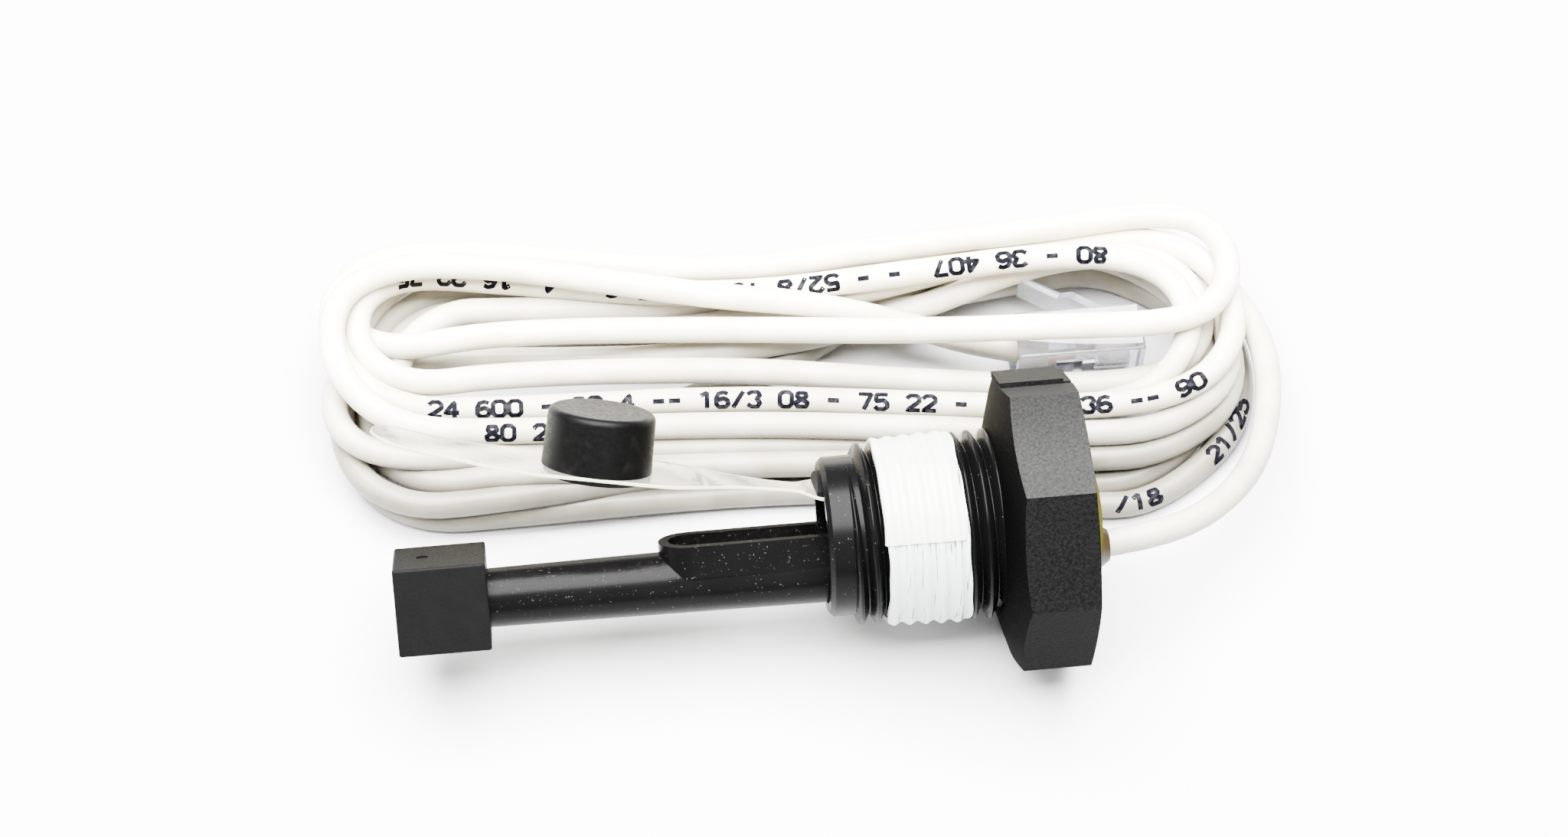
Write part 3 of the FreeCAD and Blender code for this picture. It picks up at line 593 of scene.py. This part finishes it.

# %% [markdown]
# ## Cable spline
# The cable is one fixed length of something flexible. A swept mesh would look the same, but a spline with a
# round bevel stays a line that can be measured and laid another way. The plug sits at its far end.

# %% Cable spline
line = bpy.data.curves.new("cable", "CURVE")
line.dimensions = "3D"
line.bevel_depth = 1.0
line.bevel_resolution = 5
line.resolution_u = 6
line.use_fill_caps = True
spline = line.splines.new("NURBS")
places = floored(route + moved)
spline.points.add(len(places) - 1)
spline.points.foreach_set("co", np.hstack([places, np.ones((len(places), 1))]).ravel())
spline.points.foreach_set("radius", np.full(len(places), CABLE_R * MM))
spline.order_u = 3
spline.use_endpoint_u = True
cable = bpy.data.objects.new("cable", line)
scene.collection.objects.link(cable)
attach(cable, "housing")
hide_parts("cable_lead", "cable_hank", "cable_tail")

# %% [markdown]
# ## Print on the cable
# Cables carry a line of ink print. An image could be laid on the jacket, but thin raised strokes sit on it
# as ink does and keep sharp edges at any zoom. Only plain numbers and dashes are used. Each sign is one pen
# stroke on a small sheet; the sheet is wrapped on the cable along the centre line that the spline itself
# gives.

# %% Centre line
core = line.copy()
core.bevel_depth = 0
core_holder = bpy.data.objects.new("cable_core", core)
core_mesh = bpy.data.meshes.new_from_object(core_holder)
centre = np.empty(len(core_mesh.vertices) * 3)
core_mesh.vertices.foreach_get("co", centre)
centre = centre.reshape(-1, 3) / MM
bpy.data.objects.remove(core_holder)
bpy.data.meshes.remove(core_mesh)
bpy.data.curves.remove(core)
gone = along_it(centre)
print("centre line", len(centre), "points", round(gone[-1], 1), "mm")

# %% Pen strokes of the signs
# knots of each sign's stroke: a sheet is 1 wide and 2 high; a space has no stroke
SIGNS = {
    "0": [(0.0, 0.4), (0.0, 1.6), (0.25, 2.0), (0.75, 2.0), (1.0, 1.6), (1.0, 0.4), (0.75, 0.0),
          (0.25, 0.0), (0.0, 0.4)],
    "1": [(0.1, 1.6), (0.55, 2.0), (0.55, 0.0)],
    "2": [(0.0, 1.6), (0.25, 2.0), (0.75, 2.0), (1.0, 1.6), (1.0, 1.2), (0.0, 0.0), (1.0, 0.0)],
    "3": [(0.0, 1.7), (0.3, 2.0), (0.8, 2.0), (1.0, 1.5), (0.7, 1.05), (1.0, 0.6), (0.8, 0.0),
          (0.3, 0.0), (0.0, 0.3)],
    "4": [(0.75, 0.0), (0.75, 2.0), (0.0, 0.6), (1.05, 0.6)],
    "5": [(0.95, 2.0), (0.1, 2.0), (0.05, 1.1), (0.7, 1.2), (1.0, 0.8), (1.0, 0.35), (0.7, 0.0),
          (0.2, 0.0), (0.0, 0.3)],
    "6": [(0.9, 1.8), (0.6, 2.0), (0.2, 1.8), (0.0, 1.2), (0.0, 0.4), (0.25, 0.0), (0.75, 0.0),
          (1.0, 0.4), (0.95, 0.9), (0.6, 1.15), (0.05, 0.9)],
    "7": [(0.0, 2.0), (1.0, 2.0), (0.4, 0.0)],
    "8": [(0.5, 1.05), (0.1, 1.4), (0.2, 1.9), (0.8, 1.9), (0.9, 1.4), (0.5, 1.05), (0.0, 0.6),
          (0.15, 0.05), (0.85, 0.05), (1.0, 0.6), (0.5, 1.05)],
    "9": [(0.1, 0.2), (0.4, 0.0), (0.8, 0.2), (1.0, 0.8), (1.0, 1.6), (0.75, 2.0), (0.25, 2.0),
          (0.0, 1.6), (0.05, 1.1), (0.4, 0.85), (0.95, 1.1)],
    "-": [(0.1, 1.0), (0.9, 1.0)],
    "/": [(0.1, 0.0), (0.9, 2.0)],
    " ": [],
}
SIGN_WIDTH = 1.45
SIGN_HEIGHT = 1.85
SIGN_STEP = 1.9
PEN = 0.56
PEN_STEP = 0.3           # longest step along a stroke
PEN_OVERRUN = 0.1        # a stroke starts and ends this much beyond its knots


def pen_line(stroke):
    """The two edges of a stroke on its sheet, in mm: half a pen to each side of its middle line."""
    knots = np.array(stroke) * [SIGN_WIDTH, SIGN_HEIGHT / 2]
    far = along_it(knots)
    steps = np.unique(np.concatenate([far, np.linspace(0, far[-1], max(3, int(far[-1] / PEN_STEP)))]))
    middle = np.stack([np.interp(steps, far, knots[:, k]) for k in range(2)], -1)
    ahead = np.gradient(middle, axis=0)
    ahead /= np.linalg.norm(ahead, axis=1)[:, None]
    beside = np.stack([-ahead[:, 1], ahead[:, 0]], -1) * PEN / 2
    middle[[0, -1]] += ahead[[0, -1]] * [[-PEN_OVERRUN], [PEN_OVERRUN]]
    return np.stack([middle - beside, middle + beside], 1)


print("signs", "".join(SIGNS))

# %% Wrap the print
TOWARDS_READER = np.array([0.0, -0.5, 0.86])
READING_WAY = -1         # the print is read from the plug towards the switch
GLANCE = 0.4             # how far ahead and back the cable's direction is taken
INK_LIFTS = (0.03, -0.08)    # outer and inner skin of the ink over the jacket


def centre_at(s):
    """The centre line's point at a distance along it."""
    return np.stack([np.interp(s, gone, centre[:, k]) for k in range(3)], -1)


def wrap(sheet, start, tilt, lift):
    """Sheet points to the cable: along it from a start, and round it by across / radius."""
    s = start + READING_WAY * sheet[..., 0]
    ahead = centre_at(s + GLANCE) - centre_at(s - GLANCE)
    ahead *= READING_WAY / np.linalg.norm(ahead, axis=-1)[..., None]
    facing = TOWARDS_READER - ahead * (ahead @ TOWARDS_READER)[..., None]
    facing /= np.linalg.norm(facing, axis=-1)[..., None]
    above = np.cross(facing, ahead)
    bend = (sheet[..., 1] - SIGN_HEIGHT / 2) / CABLE_R + tilt
    outward = np.cos(bend)[..., None] * facing + np.sin(bend)[..., None] * above
    return centre_at(s) + (CABLE_R + lift) * outward


def print_line(signs, near, tilt):
    """Strokes of a line of signs: it starts at the centre line's point nearest to a place."""
    start = gone[np.argmin(np.linalg.norm(centre - (np.array(near) - [ORIGIN_X, 0, 0]), axis=1))]
    sheets = [pen_line(SIGNS[sign]) + [k * SIGN_STEP, 0] for k, sign in enumerate(signs) if SIGNS[sign]]
    skins = [[wrap(sheet, start, tilt, lift) for lift in INK_LIFTS] for sheet in sheets]
    return [np.concatenate([outer, inner[:, ::-1]], 1) for outer, inner in skins]


print("a sign takes up", round(math.degrees(SIGN_HEIGHT / CABLE_R)), "degrees of the cable's round")

# %% Printed lines
# what is printed, a place near its start, and how far it is turned round the cable
PRINTED = [
    ("24 600 - 80 4 -- 16/3 08 - 75 22 - 40 51", (-73.0, 27.5, 7.6), 0.0),
    ("36 -- 90", (5.0, 19.0, 7.2), 0.0),
    ("80 - 36 407  - - 52/8 19 -- 30 6 - 4  16 22 75", (9.0, 38.2, 11.8), 0.0),
    ("80 26", (-67.0, 22.6, 8.0), -0.2),
    ("/18    21/25", (7.5, 7.4, 1.6), 0.0),
]
strokes = [stroke for words in PRINTED for stroke in print_line(*words)]
points, faces, caps, used = [], [], [], 0
for stroke in strokes:
    rows = len(stroke)
    points.append(stroke.reshape(-1, 3))
    faces.append(grid_faces(rows, 4, close_columns=True) + used)
    caps += [used + np.arange(4), used + (rows - 1) * 4 + np.arange(4)[::-1]]
    used += rows * 4
cable_print = build("cable_print", np.concatenate(points) * MM, np.concatenate(faces + [np.array(caps)]))
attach(cable_print, "housing")

# %% [markdown]
# The pieces that go with the cord when it is laid another way are listed here: the plug's housing, its latch,
# its contacts and its conductors.

# %% Cord
plug_pieces = ["plug_housing", "plug_latch"]
plug_pieces += [n for n in nodes if n.startswith(("plug_contact", "plug_conductor"))]
print("pieces that go with the cord", 1 + len(plug_pieces))

# %% [markdown]
# ## Finishes
# No surface of a real moulding is one flat colour. Pictures could be painted for each piece, but they blur
# when the camera comes close. Each finish below starts from a principled shader with its constants on its
# own sockets and adds noise in object coordinates: grain that scatters light, clouds in the colour, dust. A
# few helpers keep the node code readable.

# %% A finish and its nodes
def finish(name, colour, roughness, **sockets):
    """A principled finish; constants go on the shader's sockets, underscores in names standing for spaces."""
    material = bpy.data.materials.new(name)
    material.use_nodes = True
    for socket, value in {"Base_Color": (*colour, 1), "Roughness": roughness, **sockets}.items():
        material.node_tree.nodes["Principled BSDF"].inputs[socket.replace("_", " ")].default_value = value
    return material


def put(material, socket, source):
    """Links a source to one of the principled shader's sockets."""
    material.node_tree.links.new(source, material.node_tree.nodes["Principled BSDF"].inputs[socket])


def add(material, kind, inputs, **fields):
    """A node of a kind: fields are set by name, and inputs are linked where they come from another node."""
    node = material.node_tree.nodes.new(kind)
    for field, value in fields.items():
        setattr(node, field, value)
    for key, value in inputs.items():
        if isinstance(value, bpy.types.NodeSocket):
            material.node_tree.links.new(value, node.inputs[key])
        else:
            node.inputs[key].default_value = value
    return node


def dress(material, *names):
    """Gives a finish to nodes of the frame by name, or to pieces made here."""
    for name in names:
        mesh = (nodes[name] if isinstance(name, str) else name).data
        mesh.materials.clear()
        mesh.materials.append(material)


print("nodes that want a finish", len(nodes))

# %% [markdown]
# ### Black body
# The head is moulded in a grained tool and looks charcoal; the thread, the sleeve and the stem are polished
# and catch white streaks and dust. Both are one piece, and two materials would need it cut in two, so one
# finish finds out where it is. Masks from the place tell the head and the rim of the saddle apart, and
# masks from the way a face looks tell the rest: the flat that looks up gets a painted sheen, most of it in
# front, faces that look down are duller, and the cone in front of the head is painted nearly black as shade.

# %% Places and ranges
def split(material, source):
    """The x, y and z of a vector."""
    return add(material, "ShaderNodeSeparateXYZ", {"Vector": source}).outputs


def surface(material, kind="Object"):
    """Object coordinates in metres, or with the kind Normal the way the surface faces."""
    return add(material, "ShaderNodeTexCoord", {}).outputs[kind]


def graded(material, source, low, high, at_low=0.0, at_high=1.0):
    """A source stretched from one range to another and held at its ends."""
    keys = {"Value": source, "From Min": low, "From Max": high, "To Min": at_low, "To Max": at_high}
    return add(material, "ShaderNodeMapRange", keys).outputs["Result"]


def times(material, first, second):
    """The product of two sources."""
    return add(material, "ShaderNodeMath", {0: first, 1: second}, operation="MULTIPLY").outputs[0]


def grey(value):
    """A neutral colour."""
    return (value, value, value)


print("a middle grey is", grey(0.5))

# %% Zones of the body
SADDLE_RIM = 0.9         # over the pipe axis, in the switch's own axes
body = finish("switch_black", grey(0.01), 0.3)
spot, looks = split(body, surface(body)), split(body, surface(body, "Normal"))
to_head = HEAD_FRONT - ORIGIN_X
to_mouth = MOUTH_X - ORIGIN_X
on_head = graded(body, spot["X"], (to_head - 0.1) * MM, (to_head + 0.02) * MM)
on_stem = graded(body, spot["X"], (to_mouth - 0.1) * MM, to_mouth * MM, 1.0, 0.0)
rise = add(body, "ShaderNodeMath", {0: spot["Y"], 1: spot["Z"]}).outputs[0]
rim_low, rim_high = [(HALF_FLATS + z / ROLL) * MM for z in (SADDLE_RIM, SADDLE_RIM + 0.07)]
on_rim = times(body, on_stem, graded(body, rise, rim_low, rim_high))
# Painted shade: the cone's faces, which look forward along the thread, are made nearly black and less glossy.
cone_shade_mask = times(body, on_head, graded(body, looks["X"], -0.6, -0.25, 1.0, 0.0))
looks_down = times(body, on_head, graded(body, looks["Z"], 0.0, 0.6, 1.0, 0.0))
# Painted sheen: faces of the head that look up get a lighter black, most of it towards the front, for the
# lamp's sheen on that flat.
towards_front = graded(body, spot["Y"], -2.0 * MM, 6.5 * MM, 1.0, 0.45)
top_sheen_mask = times(body, graded(body, looks["Z"], 0.85, 0.97), towards_front)
print("zones end at", round(to_mouth, 2), "and", round(to_head, 2), "mm")

# %% Noise and colours
def noise(material, size, detail=3.0):
    """Soft noise whose blobs are about so many millimetres across."""
    keys = {"Vector": surface(material), "Scale": 1 / (size * MM), "Detail": detail}
    return add(material, "ShaderNodeTexNoise", keys).outputs["Fac"]


def between(material, factor, at_zero, at_one):
    """A value that goes from one number to another as a factor goes from 0 to 1."""
    return graded(material, factor, 0.0, 1.0, at_zero, at_one)


def mixed(material, factor, first, second):
    """A colour between two, each a colour or the output of another node."""
    first, second = [c if isinstance(c, bpy.types.NodeSocket) else (*c, 1) for c in (first, second)]
    return add(material, "ShaderNodeMix", {0: factor, 6: first, 7: second}, data_type="RGBA").outputs[2]


def bumped(material, height, depth, strength=1.0):
    """Lets a height between 0 and 1 tilt the surface, as if it were so many millimetres deep."""
    keys = {"Height": height, "Distance": depth * MM, "Strength": strength}
    put(material, "Normal", add(material, "ShaderNodeBump", keys).outputs["Normal"])


print("nodes in the zones", len(body.node_tree.nodes))

# %% Black body
DUST = (0.05, 0.05, 0.045)
grain = noise(body, 0.30, 5.0)
coarse = graded(body, grain, 0.3, 0.7)
specks = graded(body, noise(body, 0.30, 1.5), 0.69, 0.75, 0.0, 0.34)
polished = mixed(body, specks, mixed(body, noise(body, 4.0), grey(0.0007), grey(0.0014)), DUST)
charcoal = mixed(body, coarse, grey(0.0003), grey(0.0024))
# Painted sheen: the lighter black for the flat that looks up.
painted_sheen_black = mixed(body, coarse, (0.005, 0.005, 0.0047), (0.012, 0.012, 0.0115))
# The head's black, with the painted sheen on top and the painted shade, nearly black, on the cone.
head_black = mixed(body, cone_shade_mask, mixed(body, top_sheen_mask, charcoal, painted_sheen_black), grey(0.0004))
put(body, "Base Color", mixed(body, on_head, polished, head_black))
put(body, "Roughness", between(body, on_head, 0.27, 0.58))
gloss = between(body, on_head, 0.026, 0.020)
for zone, share in ((looks_down, 0.45), (cone_shade_mask, 0.4), (on_rim, 0.15)):
    gloss = times(body, gloss, between(body, zone, 1.0, share))
put(body, "Specular IOR Level", gloss)
bumped(body, times(body, grain, on_head), 0.09, 0.8)
dress(body, "switch_body")
print("nodes in the body's finish", len(body.node_tree.nodes))

# %% [markdown]
# ### Other black parts
# The ridge of the thread is as polished as its core. The block on the stem is matt with a fine grain, and
# the cap is a smoother moulding with rubbed patches. One black for all would make them look cast together,
# so each has its own: only the roughness, the gloss and the size of the noise change.

# %% Other black parts
def rough(material, source, low, high):
    """Roughness between two values, following the middle range of a noise."""
    put(material, "Roughness", graded(material, source, 0.3, 0.7, low, high))


ridge_black = finish("ridge_black", grey(0.001), 0.22, Specular_IOR_Level=0.025)
ridge_specks = graded(ridge_black, noise(ridge_black, 0.4, 1.0), 0.74, 0.80, 0.0, 0.3)
put(ridge_black, "Base Color", mixed(ridge_black, ridge_specks, grey(0.0008), DUST))
rough(ridge_black, noise(ridge_black, 1.2), 0.18, 0.30)
dress(ridge_black, thread_ridge)

block_black = finish("block_black", grey(0.01), 0.55, Specular_IOR_Level=0.025)
block_grain = noise(block_black, 0.22, 5.0)
put(block_black, "Base Color", mixed(block_black, noise(block_black, 2.5), grey(0.0010), grey(0.0018)))
rough(block_black, block_grain, 0.48, 0.64)
bumped(block_black, block_grain, 0.03, 0.5)
dress(block_black, "stem_end_block", "strip_clamp")

cap_black = finish("cap_black", grey(0.01), 0.42, Specular_IOR_Level=0.032)
cap_rubbed = graded(cap_black, noise(cap_black, 1.6, 6.0), 0.58, 0.75)
put(cap_black, "Base Color", mixed(cap_black, cap_rubbed, grey(0.0006), (0.0022, 0.0021, 0.0020)))
rough(cap_black, noise(cap_black, 0.5), 0.34, 0.50)
bumped(cap_black, noise(cap_black, 0.35, 4.0), 0.01, 0.4)
dress(cap_black, "magnet_cap", "cap_base")
print("black finishes", [m.name for m in (body, ridge_black, block_black, cap_black)])

# %% [markdown]
# ### Sealing tape
# The tape is stretched film, white and a little silky, with fine streaks along its winding and a few thin
# tears where the layers below pulled apart. Noise in object coordinates would cut straight through the
# roll. The map laid on each skin (place along the axis, angle) lets the streaks follow the winding: the
# noise is squeezed across and stretched along it. The layers below, seen on the lower side, are painted a
# cooler white as shade, and torn; the last layer is almost whole.

# %% Sealing tape
TORN = grey(0.008)


def winding_streaks(material, fine, long):
    """Noise on the tape's own map, so many mm fine along the axis and so many degrees long round it."""
    chart = add(material, "ShaderNodeUVMap", {}, uv_map="winding").outputs["UV"]
    keys = {"Vector": chart, "Scale": (1 / fine, 1 / long, 1.0)}
    stretch = add(material, "ShaderNodeMapping", keys).outputs["Vector"]
    keys = {"Vector": stretch, "Scale": 1.0, "Detail": 3.0}
    return add(material, "ShaderNodeTexNoise", keys).outputs["Fac"]


# for each skin: name, darker and lighter white, where the noise tears the tape, and how deeply
tape_finishes = {
    # Painted shade: the layers below show on the lower side of the thread, so they get a cooler white for the
    # shade there.
    tape_under: ("tape_under_shaded_white", (0.30, 0.335, 0.345), (0.38, 0.41, 0.415), 0.605, 0.97),
    tape_over: ("tape_warm_white", (0.34, 0.34, 0.32), (0.40, 0.40, 0.385), 0.76, 0.20),
}
for piece, (name, shade, light, tear_from, depth) in tape_finishes.items():
    white = finish(name, light, 0.42, Subsurface_Weight=0.1, Subsurface_Scale=0.001)
    streaks = winding_streaks(white, 0.30, 22.0)
    tears = graded(white, winding_streaks(white, 0.22, 35.0), tear_from, tear_from + 0.03, 0.0, depth)
    put(white, "Base Color", mixed(white, tears, mixed(white, streaks, shade, light), TORN))
    rough(white, streaks, 0.36, 0.50)
    bumped(white, streaks, 0.06, 0.5)
    dress(white, piece)
print("tape finishes", len(tape_finishes))

# %% [markdown]
# ### Cable, ink and glue
# The jacket is soft warm-white plastic with a faint mottle. The lower turns, and those in front, are painted
# darker as shade, so the colour is graded over the height and a little over the depth of the hank. The ink
# is thin and greyish where it has worn. The epoxy is a yellow-green resin, seen so flatly past the head that
# any gloss would turn it white, so it has none. The bead at the cable's exit is brown hot-melt glue.

# %% Cable, ink and glue
# Painted shade: the jacket is painted darker towards the floor and a little towards the front of the hank,
# graded over height and depth, for the shade that falls there.
SHADE_PAINTED_BELOW, UNSHADED_ABOVE = 9.5 * MM, 20.0 * MM
DEPTH_SHARE = 0.25
jacket = finish("cable_jacket", (0.45, 0.43, 0.36), 0.36, Specular_IOR_Level=0.25)
mottle = graded(jacket, noise(jacket, 5.0, 4.0), 0.35, 0.65)
spot = split(jacket, surface(jacket))
keys = {0: spot["Y"], 1: DEPTH_SHARE, 2: spot["Z"]}
height = add(jacket, "ShaderNodeMath", keys, operation="MULTIPLY_ADD").outputs[0]
unshaded_jacket = mixed(jacket, mottle, (0.55, 0.505, 0.39), (0.65, 0.61, 0.50))
# Painted shade: a grey jacket colour for the turns near the floor and in front.
painted_shade_jacket = mixed(jacket, mottle, (0.085, 0.077, 0.057), (0.115, 0.107, 0.086))
put(jacket, "Base Color", mixed(jacket, graded(jacket, height, SHADE_PAINTED_BELOW, UNSHADED_ABOVE), painted_shade_jacket, unshaded_jacket))
rough(jacket, noise(jacket, 1.2), 0.32, 0.42)
bumped(jacket, noise(jacket, 0.9, 2.0), 0.02, 0.25)
dress(jacket, cable, "cable_lead", "cable_hank", "cable_tail")

ink = finish("print_ink", (0.001, 0.001, 0.002), 0.6, Specular_IOR_Level=0.02)
worn = graded(ink, noise(ink, 0.7, 3.0), 0.5, 0.75)
put(ink, "Base Color", mixed(ink, worn, (0.001, 0.001, 0.002), (0.012, 0.012, 0.014)))
dress(ink, cable_print)

epoxy = finish("epoxy_yellow", (0.20, 0.18, 0.02), 0.3, Specular_IOR_Level=0.0)
put(epoxy, "Base Color", mixed(epoxy, noise(epoxy, 2.5), (0.028, 0.027, 0.003), (0.050, 0.047, 0.006)))
dress(epoxy, epoxy_dome, "potting_fill")
glue = finish("glue_brown", (0.02, 0.01, 0.004), 0.3, Specular_IOR_Level=0.1)
put(glue, "Base Color", mixed(glue, noise(glue, 1.5), (0.006, 0.0038, 0.0012), (0.018, 0.0120, 0.0045)))
dress(glue, "exit_bead")
print("cable finishes", [m.name for m in (jacket, ink, epoxy, glue)])

# %% [markdown]
# ### Clear plastics and metals
# The plug and its latch are clear plastic with faint flow lines. The film is thinner and finely scratched,
# and its cut edge is cream: the value kept on its rim turns the film less clear there, so the edge shows as
# a bright line. The contacts are gold plated. The parts inside the stem are never seen, but a part that is
# taken apart later still wants its finish: a sintered magnet, a glass capsule, nickel blades and two
# coloured wires.

# %% Clear plastics
clear = finish("plug_clear", (0.62, 0.63, 0.68), 0.08, Transmission_Weight=0.92, IOR=1.49,
               Specular_IOR_Level=0.2)
rough(clear, noise(clear, 2.0), 0.05, 0.16)
bumped(clear, noise(clear, 1.6, 2.0), 0.05, 0.3)
dress(clear, "plug_housing", "plug_latch")

film = finish("film_clear", (0.9, 0.88, 0.8), 0.06, IOR=1.12, Specular_IOR_Level=0.2)
cut_edge = add(film, "ShaderNodeAttribute", {}, attribute_name="rim").outputs["Fac"]
put(film, "Transmission Weight", graded(film, cut_edge, 0.3, 1.0, 0.95, 0.3))
put(film, "Base Color", mixed(film, cut_edge, (0.93, 0.92, 0.86), (0.42, 0.39, 0.27)))
put(film, "Roughness", graded(film, noise(film, 1.0, 5.0), 0.4, 0.7, 0.03, 0.14))
dress(film, film_strip, "paddle_strip")

glass = finish("reed_glass", (0.80, 0.90, 0.84), 0.05, Transmission_Weight=0.95, IOR=1.5)
rough(glass, noise(glass, 1.0), 0.03, 0.08)
dress(glass, "reed_capsule")
print("clear finishes", [m.name for m in (clear, film, glass)])

# %% Metals and wires
contacts = [n for n in nodes if n.startswith("plug_contact")]
metal_finishes = {
    ("contact_gold", (0.75, 0.52, 0.18), (0.86, 0.66, 0.30), 0.22): contacts,
    ("reed_nickel", (0.50, 0.49, 0.46), (0.66, 0.65, 0.62), 0.30): ["reed_blade_far", "reed_blade_near"],
    ("magnet_grey", (0.16, 0.16, 0.17), (0.26, 0.26, 0.27), 0.50): ["magnet"],
}
for (name, shade, light, roughness), names in metal_finishes.items():
    metal = finish(name, light, roughness, Metallic=1.0)
    put(metal, "Base Color", mixed(metal, noise(metal, 0.6), shade, light))
    rough(metal, noise(metal, 0.3), roughness - 0.06, roughness + 0.1)
    dress(metal, *names)

wire_colours = {
    ("wire_red", (0.14, 0.006, 0.005), (0.20, 0.012, 0.010)): ["reed_wire_short", "plug_conductor_upper"],
    ("wire_black", grey(0.001), grey(0.003)): ["reed_wire_long", "plug_conductor_lower"],
}
for (name, shade, light), names in wire_colours.items():
    wire = finish(name, light, 0.4)
    put(wire, "Base Color", mixed(wire, noise(wire, 0.8), shade, light))
    dress(wire, *names)
print("nodes without a finish", [n for n in nodes if not nodes[n].data.materials])

# %% [markdown]
# ## Floor and light
# The product stood on a white sweep under a big soft light, a little behind it. A studio picture could
# light the scene, but a plain pale floor and a few large lamps do it with numbers that can be read: one
# above, a weak one in front and one at the left for the streaks on the polished black.

# %% Floor
FLOOR_HALF = 1.5
FLOOR_LEVEL = -0.0001    # a hair below the part
corners = np.array([(-1, -1), (1, -1), (1, 1), (-1, 1)]) * FLOOR_HALF
floor = build("floor", np.column_stack([corners, np.full(4, FLOOR_LEVEL)]), [(0, 1, 2, 3)])
paper = finish("floor_pale", grey(0.45), 0.6)
put(paper, "Base Color", mixed(paper, noise(paper, 40.0), grey(0.44), grey(0.46)))
dress(paper, floor)

# %% Light
SKY_STRENGTH = 0.6


def lamp(name, place, aim, size, power):
    """A square soft lamp at a place, turned towards an aim."""
    light = bpy.data.lights.new(name, "AREA")
    light.size = size
    light.energy = power
    back = np.array(place) - np.array(aim)
    back = back / np.linalg.norm(back)
    side = np.cross([0.0, 1.0, 0.0], back)
    side = side / np.linalg.norm(side)
    return placed(name, light, place, side, np.cross(back, side))


lamps = [
    lamp("lamp_top", (-0.02, 0.11, 0.74), (0.0, 0.02, 0.0), 0.8, 215.0),
    lamp("lamp_left", (-0.7, -0.1, 0.5), (0.0, 0.0, 0.0), 0.3, 8.0),
    lamp("lamp_front", (0.25, -0.7, 0.45), (0.0, 0.0, 0.0), 0.6, 4.0),
]
world = bpy.data.worlds.new("studio")
world.use_nodes = True
sky = world.node_tree.nodes["Background"].inputs
sky["Color"].default_value = (1, 1, 1, 1)
sky["Strength"].default_value = SKY_STRENGTH
scene.world = world
print("lamps", [thing.name for thing in lamps])
